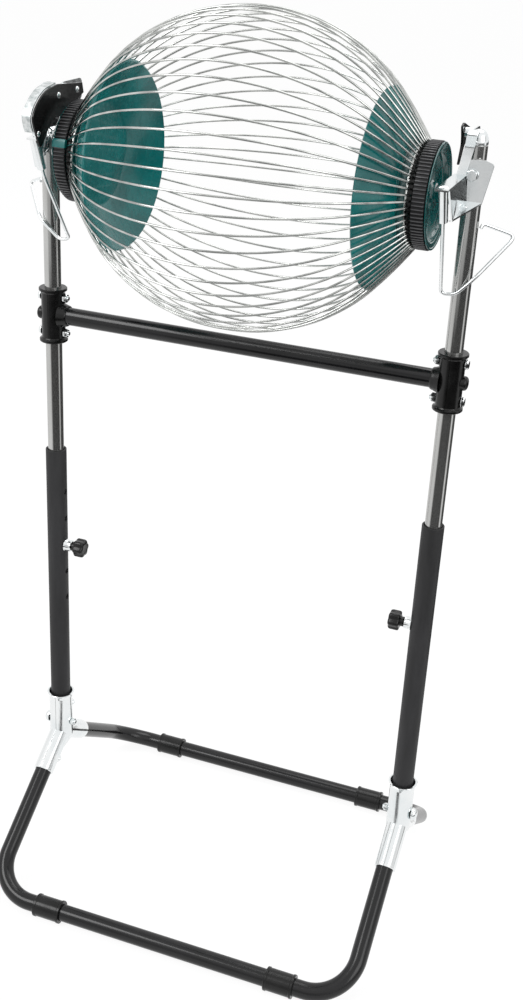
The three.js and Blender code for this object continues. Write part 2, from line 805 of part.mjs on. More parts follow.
// The pin is where the latch turns on the left and where the keeper is held on the right.
function cradle(pinY, pinZ, tabRise) {
  const web = plateYZ(webOutline(tabRise), cradleOuterX - sheet, cradleOuterX);
  const shelf = skewed(stripYZ([
    [shelfFront - shelfReach, shelfHeight],
    [flangeFront + sheet / 2, shelfHeight],
  ], -sheet, cradleInnerX, cradleOuterX), shelfSkew, ([, y]) => Math.max(y - shelfFront, 0));
  const arm = skewed(stripYZ([
    [armFootY, shelfHeight - sheet],
    [flangeFront, axleHeight + armBendRise],
    [armNoseY, axleHeight + armNoseRise],
    [armTipY, axleHeight + armTipRise],
  ], -sheet, postX - armInset, postX - armInset + armWidth), armLean, ([, , z]) => z - shelfHeight);
  const flange = plateXZ([
    [cradleOuterX - sheet, flangeBottom],
    [postX + flangeBottomReach, flangeBottom],
    [postX + flangeCornerReach, flangeTop - flangeCornerDrop],
    [postX + flangeTopReach, flangeTop],
    [cradleOuterX - sheet, flangeTop],
  ], flangeFront, flangeFront + sheet);
  const gussetSlope = (flangeBottom - webBottom) / (flangeFront - webFront);
  const gusset = skewed(plateXY([
    [cradleOuterX - sheet, webFront],
    [cradleOuterX, webFront],
    [postX + flangeBottomReach, flangeFront],
    [postX + flangeBottomReach, flangeFront + sheet],
    [cradleOuterX - sheet, flangeFront + sheet],
  ], webBottom, webBottom + sheet), gussetSlope, ([, y]) => y - webFront, 2);
  const knuckle = rod(
    knuckleTop.clone().addScaledVector(knuckleWay, knuckleInset),
    knuckleBottom,
    knuckleRadius,
    boltSides,
  );
  const shoulder = rod(
    at(latchOuterX + touchGap, pinY, pinZ),
    at(cradleOuterX, pinY, pinZ),
    pivotShoulderRadius,
    boltSides,
  );
  const headX = latchInnerX - touchGap;
  const pivotPin = rod(
    at(headX - joinDepth, pinY, pinZ),
    at(cradleOuterX, pinY, pinZ),
    pivotPinRadius,
    boltSides,
  );
  const pivotHead = rod(
    at(headX - pivotHeadThickness, pinY, pinZ),
    at(headX, pinY, pinZ),
    pivotHeadRadius,
    boltSides,
  );
  const springPin = rod(
    at(springX - wireRadius, springPinY, axleHeight + springPinRise),
    at(cradleOuterX - sheet / 2, springPinY, axleHeight + springPinRise),
    springFootRadius,
    boltSides,
  );
  const pinBore = rod(
    knuckleTop,
    knuckleBottom.clone().addScaledVector(knuckleWay, knuckleHeight),
    bailRadius + slideGap,
    boltSides,
  );
  const axleHole = rod(
    at(cradleOuterX - 2 * sheet, axleY, axleHeight),
    at(postX, axleY, axleHeight),
    axleRadius + slideGap,
  );
  const boltHole = rod(
    at(postX, flangeFront - cutOverrun, flangeBoltHeight),
    at(postX, 0, flangeBoltHeight),
    flangeBoltDiameter / 2 + touchGap,
    boltSides,
  );
  const folded = join(web, shelf, arm, flange, gusset, knuckle, shoulder, pivotPin, pivotHead, springPin);
  return folded.subtract(join(pinBore, axleHole, boltHole));
}

// On the left the axle lifts out through a slot once the latch is open.
function slottedCradle() {
  const half = axleRadius + slideGap;
  const slot = block(
    at(cradleInnerX - cutOverrun, axleY - half, axleHeight),
    at(cradleOuterX + cutOverrun, axleY + half, axleHeight + shelfRise + cutOverrun),
  );
  return cradle(pivotY, pivotZ, pivotTabRise).subtract(slot);
}

const keeperPinY = 38;
const keeperPinRise = 52;
const keeperPinZ = axleHeight + keeperPinRise;
const keeperTabRise = 58;
addNode('right_cradle', cradle(keeperPinY, keeperPinZ, keeperTabRise), 'zinc');
addNode('left_cradle', mirrored(slottedCradle()), 'zinc');

// A bolt holds each cradle's flange to the front of its post.
const flangeBoltHeadRadius = 5.4;
const flangeBoltHeadHeight = 3.6;

function flangeBolt() {
  const headBack = flangeFront - touchGap;
  const head = rod(
    at(postX, headBack - flangeBoltHeadHeight, flangeBoltHeight),
    at(postX, headBack, flangeBoltHeight),
    flangeBoltHeadRadius,
    hexSides,
  );
  const shank = rod(
    at(postX, headBack - joinDepth, flangeBoltHeight),
    at(postX, 0, flangeBoltHeight),
    flangeBoltDiameter / 2,
    boltSides,
  );
  return head.add(shank);
}

addPair('flange_bolt', flangeBolt(), 'zinc');

// Latch: a hooked plate on the left that swings up over the axle, with a zinc guard on its front edge.
const latchWidth = 104;
const latchHeight = 55;
const latchBackY = 31;
const latchTopRise = 64.5;
const latchOutlineShares = [
  [0.47, 1], [0.263, 0.945], [0.163, 0.855], [0.08, 0.74], [0, 0.564], [0.014, 0.428], [0.08, 0.161],
  [0.12, 0.01], [0.169, 0.068], [0.246, 0.199], [0.275, 0.31], [0.475, 0.307], [0.56, 0.43],
  [0.769, 0.6], [0.975, 0.754], [0.95, 0.93],
];
const guardOutlineShares = [
  [0.47, 1], [0.263, 0.945], [0.163, 0.855], [0.08, 0.74], [0, 0.564], [0.014, 0.428], [0.05, 0.3],
];
const latchStudShare = [0.457, 0.42];
const guardWidth = 9;

function latchPoint([widthShare, heightShare]) {
  const y = latchBackY - latchWidth * (1 - widthShare);
  return [y, axleHeight + latchTopRise - latchHeight * (1 - heightShare)];
}

function latchPlate() {
  const plate = plateYZ(latchOutlineShares.map(latchPoint), latchInnerX, latchOuterX);
  const pivotHole = rod(
    at(latchInnerX - cutOverrun, pivotY, pivotZ),
    at(latchOuterX + cutOverrun, pivotY, pivotZ),
    pivotPinRadius + slideGap,
    boltSides,
  );
  const [studY, studZ] = latchPoint(latchStudShare);
  const stud = rod(
    at(springX - wireRadius, studY, studZ),
    at(latchOuterX - latchThickness / 2, studY, studZ),
    springPinRadius,
    boltSides,
  );
  return plate.subtract(pivotHole).add(stud);
}

addNode('left_latch_plate', mirrored(latchPlate()), 'blackSteel');
addNode('left_latch_guard', mirrored(stripYZ(
  guardOutlineShares.map(latchPoint),
  -sheet,
  cradleInnerX,
  cradleInnerX + guardWidth,
)), 'zinc');

// Keeper: the fixed black plate on the right cradle's pivot stud.
const keeperCorners = [
  [-11, -28], [-3.5, -11.3], [-6, -3], [-11, 6.5], [-4, 9], [36, -2.5], [32, -10], [6, -12], [-8, -28],
];
const keeperOutline = keeperCorners.map(([back, rise]) => [keeperPinY + back, keeperPinZ + rise]);

addNode('right_keeper_plate', plateYZ(keeperOutline, latchInnerX, latchOuterX).subtract(rod(
  at(latchInnerX - cutOverrun, keeperPinY, keeperPinZ),
  at(latchOuterX + cutOverrun, keeperPinY, keeperPinZ),
  pivotPinRadius + touchGap,
  boltSides,
)), 'blackSteel');

// Latch spring: an extension spring from the stud on the latch to the post on the cradle.
const springWireDiameter = 0.9;
const springCoilRadius = 1.8;
const springCurls = 6;
const springPitch = 1.75;
const stepsPerCurl = 8;
const hookSteps = 5;

function springRoute() {
  const [studY, studZ] = latchPoint(latchStudShare);
  const top = at(springX, studY, studZ);
  const foot = at(springX, springPinY, axleHeight + springPinRise);
  const down = foot.clone().sub(top).normalize();
  const across = at(1, 0, 0);
  const aside = new THREE.Vector3().crossVectors(down, across);
  const upperHook = springPinRadius + touchGap + springWireDiameter / 2;
  const lowerHook = springFootRadius + touchGap + springWireDiameter / 2;
  const coilLength = springCurls * springPitch;
  const reach = top.distanceTo(foot);
  const coilStart = (reach + upperHook - lowerHook - coilLength) / 2;
  const place = (along, side, out) => top.clone()
    .addScaledVector(down, along)
    .addScaledVector(aside, side)
    .addScaledVector(across, out);
  const points = [];
  for (let step = 0; step <= hookSteps; step += 1) {
    const angle = Math.PI / 6 - (step / hookSteps) * (Math.PI * 7) / 6;
    points.push(place(upperHook * Math.sin(angle), upperHook * Math.cos(angle), 0));
  }
  points.reverse();
  const turns = springCurls * stepsPerCurl;
  for (let step = 0; step <= turns; step += 1) {
    const angle = (step / stepsPerCurl) * 2 * Math.PI;
    points.push(place(
      coilStart + (step / turns) * coilLength,
      springCoilRadius * Math.cos(angle),
      springCoilRadius * Math.sin(angle),
    ));
  }
  for (let step = 0; step <= hookSteps; step += 1) {
    const angle = Math.PI / 6 - (step / hookSteps) * (Math.PI * 7) / 6;
    points.push(place(reach - lowerHook * Math.sin(angle), lowerHook * Math.cos(angle), 0));
  }
  return points;
}

// The least distance between stations that lie more than half a curl apart, less the wire.
function leastGap(points, apart, diameter) {
  let least = Infinity;
  for (let one = 0; one < points.length; one += 1) {
    for (let other = one + apart; other < points.length; other += 1) {
      least = Math.min(least, points[one].distanceTo(points[other]) - diameter);
    }
  }
  return least;
}

const springPoints = springRoute();
console.log('latch spring, least gap to itself in mm:', leastGap(
  springPoints,
  stepsPerCurl / 2,
  springWireDiameter,
).toFixed(2));
addNode('left_latch_spring', mirrored(sweep(springPoints, springWireDiameter / 2, 0, springSides)), 'zinc');

// Bails: bent wires that turn in the cradles' knuckles, run round the front of the post and back to it.
// Corners are [outward from the post's line, towards the rear, below the axle]; the left one leans inward.
const bailBendRadius = 9;
const bailCornerSteps = 4;
const bendShare = 0.45;
const bailExit = 6;
const bailCorners = {
  right: [[-16.4, -12.6, 85.6], [-3, -12.4, 84.8], [10.8, -9, 70.4], [41, 18, 31], [12.5, 3, 20.5]],
  left: [[-27, -12.8, 86.6], [-15.5, -12.8, 88.4], [7.6, -10.4, 70.5], [36, 22, 43], [13.5, 3, 33.5]],
};
const bailEndOut = chromePostRadius + 2 * touchGap + bailRadius;
const bailEndDrops = { right: 24, left: 35.5 };

function bailRoute(side) {
  const corners = [
    knuckleTop.clone().addScaledVector(knuckleWay, touchGap),
    knuckleBottom.clone().addScaledVector(knuckleWay, bailExit),
    ...bailCorners[side].map(([outward, y, drop]) => at(postX + outward, y, axleHeight - drop)),
    at(postX + bailEndOut, 0, axleHeight - bailEndDrops[side]),
  ];
  return roundedRoute(corners, bailBendRadius, bailCornerSteps);
}

// A route through corners in which each inner corner is an arc-like bend of quadratic form.
function roundedRoute(corners, radius, steps) {
  const points = [corners[0]];
  for (let index = 1; index < corners.length - 1; index += 1) {
    const back = corners[index - 1].clone().sub(corners[index]);
    const ahead = corners[index + 1].clone().sub(corners[index]);
    const reach = Math.min(radius, back.length() * bendShare, ahead.length() * bendShare);
    const start = corners[index].clone().addScaledVector(back.normalize(), reach);
    const end = corners[index].clone().addScaledVector(ahead.normalize(), reach);
    const bend = new THREE.QuadraticBezierCurve3(start, corners[index], end);
    points.push(...bend.getPoints(steps));
  }
  points.push(corners[corners.length - 1]);
  return points;
}

addNode('right_bail', sweep(bailRoute('right'), bailRadius, 0, bailSides), 'zinc');
addNode('left_bail', mirrored(sweep(bailRoute('left'), bailRadius, 0, bailSides)), 'zinc');

// Cage wires: each follows an ellipse from hoop to hoop; a quarter of the wires share a node.
const hubCoreRadius = hubCoreDiameter / 2;
const hoopWireRadius = hoopWireDiameter / 2;
const hoopRadius = hubCoreRadius + touchGap + hoopWireRadius;
const wiresPerSector = wireCount / sectorCount;
const wireStep = (2 * Math.PI) / wireCount;

function onCage(x, radius, angle) {
  return at(x, axleY + radius * Math.cos(angle), axleHeight + radius * Math.sin(angle));
}

function cageWire(angle) {
  const lastTilt = Math.acos(hoopRadius / cageRadius);
  const points = [onCage(-hoopX, hoopRadius, angle)];
  for (let step = 0; step <= wireSteps; step += 1) {
    const tilt = lastTilt * ((2 * step) / wireSteps - 1);
    points.push(onCage(cageHalfLength * Math.sin(tilt), cageRadius * Math.cos(tilt), angle));
  }
  points.push(onCage(hoopX, hoopRadius, angle));
  return sweep(points, wireRadius, 0, wireSides);
}

// The hoops are square in section, with a flat towards the wires that end in them.
function hoopArc(x, from, to) {
  const points = [];
  for (let step = 0; step <= wiresPerSector; step += 1) {
    points.push(onCage(x, hoopRadius, from + ((to - from) * step) / wiresPerSector));
  }
  const section = new THREE.Shape(polygon(hoopWireRadius, 4, Math.PI / 4));
  return solid(new THREE.ExtrudeGeometry(section, {
    steps: wiresPerSector,
    extrudePath: new Route(points),
  }));
}

const sectorNames = ['upper_rear', 'upper_front', 'lower_front', 'lower_rear'];
sectorNames.forEach((name, sector) => {
  const start = sector * wiresPerSector * wireStep;
  const hoopGap = touchGap / 2 / (hoopRadius - hoopWireRadius);
  const end = start + wiresPerSector * wireStep;
  const wires = [];
  for (let wire = 0; wire < wiresPerSector; wire += 1) {
    wires.push(cageWire(start + (wire + 1 / 2) * wireStep));
  }
  const hoops = [-hoopX, hoopX].map((x) => hoopArc(x, start + hoopGap, end - hoopGap));
  addNode(`cage_wires_${name}`, join(...wires, ...hoops), 'wire');
});

// Dishes: shallow bowls just inside the wires at both ends of the cage.
const dishSteps = 4;

function wireLineRadius(x) {
  return cageRadius * Math.sqrt(1 - (x / cageHalfLength) ** 2);
}

function dishProfile() {
  const outside = [];
  for (let step = 0; step <= dishSteps; step += 1) {
    const share = step / dishSteps;
    const x = dishRimX + (dishEndX - dishRimX) * share;
    const gap = dishRimGap + (dishEndGap - dishRimGap) * share;
    outside.push([x, wireLineRadius(x) - wireRadius - gap]);
  }
  const inside = outside.map(([x, radius]) => [x - dishWall / 2, radius - dishWall]).reverse();
  inside[0][0] = dishEndX - dishWall;
  return [...outside, [dishEndX, 0], [dishEndX - dishWall, 0], ...inside];
}

addPair('dish', turnedOnAxle(dishProfile()), 'teal');

// Hubs: moulded cores with a collar and a rim beside the band, a recessed outer face and the axle stub.
const hubWall = 3;
const hubCollarRadius = 46;
const hubCollarWidth = 4;
const hubDrumRadius = 44.7;
const hubRimRadius = 48.3;
const hubRimWidth = 1.4;
const hubRecessRadius = 41.2;
const hubRecess = 7;
const hubBossRadius = 12;
const hubBossRise = 4;
const hubCollarX = hoopX + hoopWireRadius + touchGap;
const bandX = hubCollarX + hubCollarWidth + touchGap;
const hubRimX = bandX + bandWidth + touchGap;
const hubFaceX = hubRimX + hubRimWidth;
const hubFloorX = hubFaceX - hubRecess;
const hubInnerX = dishEndX + touchGap;

addPair('hub', turnedOnAxle([
  [hubInnerX, hubCoreRadius - hubWall],
  [hubInnerX, hubCoreRadius],
  [hubCollarX, hubCoreRadius],
  [hubCollarX, hubCollarRadius],
  [hubCollarX + hubCollarWidth, hubCollarRadius],
  [hubCollarX + hubCollarWidth, hubDrumRadius],
  [hubRimX, hubDrumRadius],
  [hubRimX, hubRimRadius],
  [hubFaceX, hubRimRadius],
  [hubFaceX, hubRecessRadius],
  [hubFloorX, hubRecessRadius],
  [hubFloorX, hubBossRadius],
  [hubFloorX + hubBossRise, hubBossRadius],
  [hubFloorX + hubBossRise, axleRadius],
  [cradleOuterX, axleRadius],
  [cradleOuterX, 0],
  [hubFloorX - hubWall, 0],
  [hubFloorX - hubWall, hubCoreRadius - hubWall],
]), 'teal');

// Bands: ribbed black grips round the hubs, between collar and rim.
const ribCount = 48;
const ribDepth = 1.5;

function band() {
  const outline = [];
  for (let corner = 0; corner < 2 * ribCount; corner += 1) {
    const angle = (corner * Math.PI) / ribCount;
    const radius = bandDiameter / 2 - (corner % 2) * ribDepth;
    outline.push([axleY + radius * Math.cos(angle), axleHeight + radius * Math.sin(angle)]);
  }
  const ring = plateYZ(outline, bandX, bandX + bandWidth);
  return ring.subtract(turnedOnAxle([
    [bandX - cutOverrun, 0],
    [bandX - cutOverrun, hubDrumRadius + touchGap],
    [bandX + bandWidth + cutOverrun, hubDrumRadius + touchGap],
    [bandX + bandWidth + cutOverrun, 0],
  ]));
}

addPair('band', band(), 'blackPlastic');

export default model;
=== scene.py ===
import json
import math

import bmesh
import bpy
import numpy as np
from mathutils import Matrix, Vector


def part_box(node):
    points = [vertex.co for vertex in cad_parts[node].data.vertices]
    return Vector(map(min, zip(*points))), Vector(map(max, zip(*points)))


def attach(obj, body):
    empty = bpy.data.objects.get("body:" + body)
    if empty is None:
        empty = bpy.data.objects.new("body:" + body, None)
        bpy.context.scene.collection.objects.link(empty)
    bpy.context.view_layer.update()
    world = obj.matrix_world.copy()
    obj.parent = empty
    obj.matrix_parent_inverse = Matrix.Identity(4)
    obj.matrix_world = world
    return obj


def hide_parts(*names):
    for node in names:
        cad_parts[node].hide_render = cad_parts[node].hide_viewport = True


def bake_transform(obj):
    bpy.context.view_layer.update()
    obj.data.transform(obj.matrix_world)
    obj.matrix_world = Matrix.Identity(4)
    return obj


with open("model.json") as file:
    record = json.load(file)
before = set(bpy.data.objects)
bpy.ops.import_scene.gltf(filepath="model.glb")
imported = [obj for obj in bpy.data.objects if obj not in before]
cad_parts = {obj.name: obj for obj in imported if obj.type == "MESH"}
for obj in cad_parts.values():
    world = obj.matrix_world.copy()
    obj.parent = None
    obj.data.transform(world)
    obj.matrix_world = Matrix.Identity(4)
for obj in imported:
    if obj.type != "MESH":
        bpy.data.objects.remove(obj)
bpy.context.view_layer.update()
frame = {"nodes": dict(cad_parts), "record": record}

# The script works in millimetres and hands metres to Blender.
metre = 0.001

# Places shared by many pieces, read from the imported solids
def nodeBox(node):
    low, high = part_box(node)
    return np.array(low) / metre, np.array(high) / metre


def middle(node, axis):
    low, high = nodeBox(node)
    return (low[axis] + high[axis]) / 2


postX = middle("right_lower_post", 0)
axleY = middle("right_band", 1)
axleZ = middle("right_band", 2)
baseZ = middle("front_bar", 2)
barY = middle("rear_bar", 1)
knobZ = middle("right_knob", 2)
crossZ = middle("cross_bar", 2)
sleeveX = middle("right_front_sleeve", 0)
baseRadius = 9.5
lowerPostRadius = 11.4
chromeRadius = 8.75
axleRadius = 5.5
sheet = 1.7

# Camera: where the photograph was taken from, with its roll
camera = {
    "place": (0.4375, -1.1708, 1.0786),
    "right": (0.9351, 0.3510, 0.0495),
    "down": (0.1931, -0.3871, -0.9016),
    "ahead": (-0.2973, 0.8526, -0.4298),
    "lens": 47.13,
    "sensor": 36.0,
}


def setUpCamera():
    data = bpy.data.cameras.new("camera")
    data.lens = camera["lens"]
    data.sensor_width = camera["sensor"]
    data.sensor_fit = "AUTO"
    data.clip_start = 0.01
    data.clip_end = 200
    eye = bpy.data.objects.new("camera", data)
    bpy.context.scene.collection.objects.link(eye)
    columns = [Vector(camera["right"]), -Vector(camera["down"]), -Vector(camera["ahead"])]
    turn = Matrix(columns).transposed().to_4x4()
    eye.matrix_world = Matrix.Translation(camera["place"]) @ turn
    bpy.context.scene.camera = eye


setUpCamera()
print("camera is set")


# Materials

def addNode(tree, kind, inputs=None, **settings):
    # Each input is given as a value or as the socket that feeds it.
    node = tree.nodes.new(kind)
    for name, value in settings.items():
        setattr(node, name, value)
    for name, value in (inputs or {}).items():
        if isinstance(value, bpy.types.NodeSocket):
            tree.links.new(value, node.inputs[name])
        else:
            node.inputs[name].default_value = value
    return node


def mathNode(tree, operation, *values):
    return addNode(tree, "ShaderNodeMath", dict(enumerate(values)), operation=operation).outputs[0]


def newFinish(name):
    material = bpy.data.materials.new(name)
    material.use_nodes = True
    return material, material.node_tree, material.node_tree.nodes["Principled BSDF"]


def objectPattern(tree, stretch=(1, 1, 1)):
    place = addNode(tree, "ShaderNodeTexCoord").outputs["Object"]
    return addNode(tree, "ShaderNodeMapping", {"Vector": place, "Scale": stretch}).outputs["Vector"]


def noise(tree, vector, scale, detail=3.0, rough=0.5, warp=0.0):
    return addNode(tree, "ShaderNodeTexNoise", {
        "Vector": vector, "Scale": scale, "Detail": detail, "Roughness": rough, "Distortion": warp,
    }).outputs["Fac"]


def spread(tree, value, low, high, fromLow=0.3, fromHigh=0.7):
    # Maps a noise's usual span onto low to high.
    return addNode(tree, "ShaderNodeMapRange", {
        "Value": value, "From Min": fromLow, "From Max": fromHigh, "To Min": low, "To Max": high,
    }).outputs["Result"]


def addRamp(tree, value, stops):
    # Colour that runs through (position, colour) stops.
    ramp = addNode(tree, "ShaderNodeValToRGB", {"Fac": value})
    elements = ramp.color_ramp.elements
    for element, (position, colour) in ((elements[0], stops[0]), (elements[1], stops[-1])):
        element.position, element.color = position, (*colour, 1)
    for position, colour in stops[1:-1]:
        elements.new(position).color = (*colour, 1)
    return ramp.outputs["Color"]


def dress(tree, shader, colour, rough, height, distance, strength):
    # Links the three patterns of a finish to its shader.
    relief = addNode(tree, "ShaderNodeBump", {"Height": height, "Distance": distance, "Strength": strength})
    for socket, name in ((colour, "Base Color"), (rough, "Roughness"), (relief.outputs["Normal"], "Normal")):
        tree.links.new(socket, shader.inputs[name])


# Noises are (scale, detail, roughness, warp), rough is the span of the roughness, relief is (depth in metres, strength)
powder = {
    "name": "powderCoatBlack", "shader": {"Specular IOR Level": 0.42}, "dark": (0.003, 0.003, 0.0035),
    "light": (0.007, 0.007, 0.008), "cloud": (22, 4), "scuff": (160, 5, 0.6, 0.4), "rough": (0.14, 0.22),
    "grain": (900, 2), "relief": (0.00006, 0.12),
}
satin = {
    "name": "satinTubeBlack", "shader": {"Specular IOR Level": 0.3}, "dark": (0.020, 0.020, 0.021),
    "light": (0.036, 0.036, 0.038), "stretch": (1, 1, 0.15), "evenGrain": True, "cloud": (60, 4), "scuff": (240, 4),
    "rough": (0.42, 0.56), "grain": (1100, 2), "relief": (0.00007, 0.4),
}
# Base colour darker than bright chrome: painted shade standing in for the dark surroundings the posts reflect.
chrome = {
    "name": "chromePlate", "shader": {"Metallic": 0.88}, "dark": (0.42, 0.42, 0.41), "light": (0.54, 0.54, 0.53),
    "stretch": (1, 1, 0.12), "cloud": (40, 5, 0.6, 0.8), "rough": (0.07, 0.12), "grain": (420, 2),
    "relief": (0.00002, 0.1),
}
zinc = {
    "name": "brightZinc", "shader": {"Metallic": 1}, "dark": (0.78, 0.82, 0.83), "light": (0.90, 0.91, 0.91),
    "span": (0.3, 0.7), "cloud": (30, 4, 0.55, 0.4), "scuff": (90, 4), "rough": (0.10, 0.18), "grain": (500, 3),
    "relief": (0.00002, 0.2),
}
guardZinc = {
    **zinc, "name": "spangledZinc", "dark": (0.42, 0.46, 0.46), "light": (0.86, 0.88, 0.88),
    "cloud": (210, 4, 0.55, 0.4), "rough": (0.30, 0.50), "relief": (0.00012, 0.2),
}
wire = {
    "name": "drawnWire", "shader": {"Metallic": 1}, "dark": (0.37, 0.38, 0.37), "light": (0.68, 0.69, 0.67),
    "stretch": (0.2, 1, 1), "cloud": (90, 4), "rough": (0.05, 0.12), "grain": (1500, 2), "relief": (0.00001, 0.3),
}
teal = {
    "name": "tealMoulding", "shader": {"Coat Weight": 1.0, "Coat Roughness": 0.05}, "dark": (0.0, 0.085, 0.086),
    "light": (0.002, 0.145, 0.140), "cloud": (14, 4, 0.5, 1.2), "scuff": (150, 4), "rough": (0.20, 0.32),
    "grain": (800, 2), "relief": (0.00005, 0.2),
}
# A brighter copy of the hub's teal: painted light that makes up for the shade inside the cage; the left band's tooth
# takes it too.
paintedLightTeal = {
    **teal, "name": "tealWithPaintedLight", "shader": {"Coat Weight": 0.3, "Coat Roughness": 0.05},
    "dark": (0.001, 0.122, 0.120), "light": (0.003, 0.210, 0.204),
}
plastic = {
    "name": "mouldedBlack", "shader": {"Specular IOR Level": 0.35}, "dark": (0.003, 0.003, 0.003),
    "light": (0.008, 0.008, 0.008), "cloud": (55, 4), "scuff": (200, 4), "rough": (0.17, 0.28), "grain": (1000, 3),
    "relief": (0.00008, 0.4),
}
latchBlack = {
    **plastic, "name": "latchBlack", "shader": {"Specular IOR Level": 0.4}, "light": (0.007, 0.007, 0.007),
    "rough": (0.16, 0.26), "grain": (700, 3),
}


def makeFinish(spec):
    # Colour = mix of two shades by a cloud noise, roughness = a scuff noise or else the cloud, over a fine relief.
    material, tree, shader = newFinish(spec["name"])
    for name, value in spec["shader"].items():
        shader.inputs[name].default_value = value
    vector = objectPattern(tree, spec.get("stretch", (1, 1, 1)))
    grainVector = objectPattern(tree) if "evenGrain" in spec else vector
    cloud = noise(tree, vector, *spec["cloud"])
    scuff = noise(tree, vector, *spec["scuff"]) if "scuff" in spec else cloud
    low, high = spec.get("span", (0.35, 0.65))
    dress(tree, shader, addRamp(tree, cloud, [(low, spec["dark"]), (high, spec["light"])]),
          spread(tree, scuff, *spec["rough"]), noise(tree, grainVector, *spec["grain"]), *spec["relief"])
    return material


# ridge is the colour of a painted highlight along the ribs' tops; valley is the rubber's own black.
gripRubber = {"valley": (0.006, 0.006, 0.007), "ridge": (0.11, 0.11, 0.115), "low": 47.9, "high": 48.9}


def makeGripRubber():
    # Painted highlight: the ribs' tops turn pale, the colour following the distance from the axle.
    material, tree, shader = newFinish("gripRubber")
    shader.inputs["Specular IOR Level"].default_value = 0.4
    place = addNode(tree, "ShaderNodeTexCoord").outputs["Object"]
    centred = addNode(tree, "ShaderNodeMapping", {
        "Vector": place, "Location": (0, -axleY * metre, -axleZ * metre), "Scale": (0, 1, 1)})
    distance = addNode(tree, "ShaderNodeVectorMath", {0: centred.outputs["Vector"]}, operation="LENGTH")
    onTop = spread(tree, distance.outputs["Value"], 0, 1, gripRubber["low"] * metre, gripRubber["high"] * metre)
    # Painted highlight on the rib tops, made stronger or weaker by a noise.
    ridgeHighlight = mathNode(tree, "MULTIPLY", onTop, spread(tree, noise(tree, place, 160, 4), 0.6, 1.0))
    dress(tree, shader, addRamp(tree, ridgeHighlight, [(0, gripRubber["valley"]), (1, gripRubber["ridge"])]),
          spread(tree, ridgeHighlight, 0.5, 0.32, 0, 1), noise(tree, place, 1300, 3), 0.00006, 0.3)
    return material


finishes = {
    "powder": makeFinish(powder), "satin": makeFinish(satin), "chrome": makeFinish(chrome), "zinc": makeFinish(zinc),
    "guardZinc": makeFinish(guardZinc), "wire": makeFinish(wire), "teal": makeFinish(teal),
    "paintedLightTeal": makeFinish(paintedLightTeal), "plastic": makeFinish(plastic), "latchBlack": makeFinish(latchBlack),
    "rubber": makeGripRubber(),
}
print("finishes are made:", len(finishes))


# Shapes: each returns (points, faces), with points in millimetres

def gridFaces(rows, columns, wrap=True):
    # Quads between neighbouring grid points; wrap joins the last column to the first.
    row, column = np.meshgrid(np.arange(rows - 1), np.arange(columns if wrap else columns - 1), indexing="ij")
    ahead = (column + 1) % columns
    below, above = row * columns, (row + 1) * columns
    return np.stack([below + column, below + ahead, above + ahead, above + column], -1).reshape(-1, 4)


def combine(*shapes):
    # Several shapes as one, side by side.
    points, faces, start = [], [], 0
    for shapePoints, shapeFaces in shapes:
        points.append(shapePoints)
        faces.extend([[int(corner) + start for corner in face] for face in shapeFaces])
        start += len(shapePoints)
    return np.concatenate(points), faces


def axisFrame(axis):
    # Two unit directions at right angles to an axis and to each other.
    axis = np.asarray(axis, float) / np.linalg.norm(axis)
    helper = np.array([0, 0, 1.0]) if abs(axis[2]) < 0.9 else np.array([1.0, 0, 0])
    side = np.cross(helper, axis)
    side /= np.linalg.norm(side)
    return axis, side, np.cross(axis, side)


def turned(profile, origin, axis, steps=64, outline=None):
    # Point = origin + axis * along + radius * (side * cos a + up * sin a) for each profile pair (radius, along);
    # outline scales the radius round the turn, row by row.
    profile = np.asarray(profile, float)
    axis, side, up = axisFrame(axis)
    angle = np.arange(steps) * 2 * math.pi / steps
    ring = np.cos(angle)[:, None] * side + np.sin(angle)[:, None] * up
    radius = profile[:, :1] * np.ones(steps) if outline is None else outline(profile[:, :1], angle[None, :])
    points = np.asarray(origin, float) + profile[:, 1, None, None] * axis + radius[..., None] * ring
    return points.reshape(-1, 3), gridFaces(len(profile), steps)


def closedRing(profile, origin, axis, steps=64, outline=None):
    # The same, for a profile that closes on itself away from the axis.
    return turned(np.concatenate([profile, profile[:1]]), origin, axis, steps, outline)


def ringProfile(inner, outer, low, high, edge):
    # Wall between two radii and two places along the axis, with cut outer edges.
    shoulder = outer - edge
    return [(inner, low), (shoulder, low), (outer, low + edge), (outer, high - edge), (shoulder, high), (inner, high)]


def bothEnds(oneEnd):
    # A profile and its mirror image about 0 along the axis.
    return oneEnd + [(radius, -along) for radius, along in oneEnd[::-1]]


def domeProfile(radius, base, rise, power, steps):
    # (radius * cos^power a, base + rise * sin a) for a from 0 to a quarter turn.
    turn = np.linspace(0, math.pi / 2, steps)[:-1]
    return [(radius * math.cos(a) ** power, base + rise * math.sin(a)) for a in turn] + [(0, base + rise)]


def unitTangents(path):
    # Direction from point to point, each of length 1.
    tangent = np.gradient(path, axis=0)
    return tangent / np.linalg.norm(tangent, axis=1)[:, None]


def tube(path, radius, sides=20, reference=(0, 0, 1), endRound=0.35):
    # Point = station + radius * (side * cos a + up * sin a), where side = tangent x reference;
    # both ends close on a point after a small rounded edge.
    path = np.asarray(path, float)
    tangent = unitTangents(path)
    rounding = min(endRound, radius)
    first = np.array([path[0]] * 2 + [path[0] + tangent[0] * rounding])
    last = np.array([path[-1] - tangent[-1] * rounding] + [path[-1]] * 2)
    stations = np.concatenate([first, path[1:-1], last])
    tangents = np.concatenate([tangent[[0, 0, 0]], tangent[1:-1], tangent[[-1, -1, -1]]])
    radii = np.full(len(stations), float(radius))
    radii[[0, -1]] = 0
    radii[[1, -2]] = radius - rounding
    side = np.cross(tangents, np.asarray(reference, float))
    side /= np.linalg.norm(side, axis=1)[:, None]
    up = np.cross(side, tangents)
    angle = np.arange(sides) * 2 * math.pi / sides
    ring = np.cos(angle)[:, None, None] * side + np.sin(angle)[:, None, None] * up
    points = stations[:, None] + radii[:, None, None] * ring.transpose(1, 0, 2)
    return points.reshape(-1, 3), gridFaces(len(stations), sides)


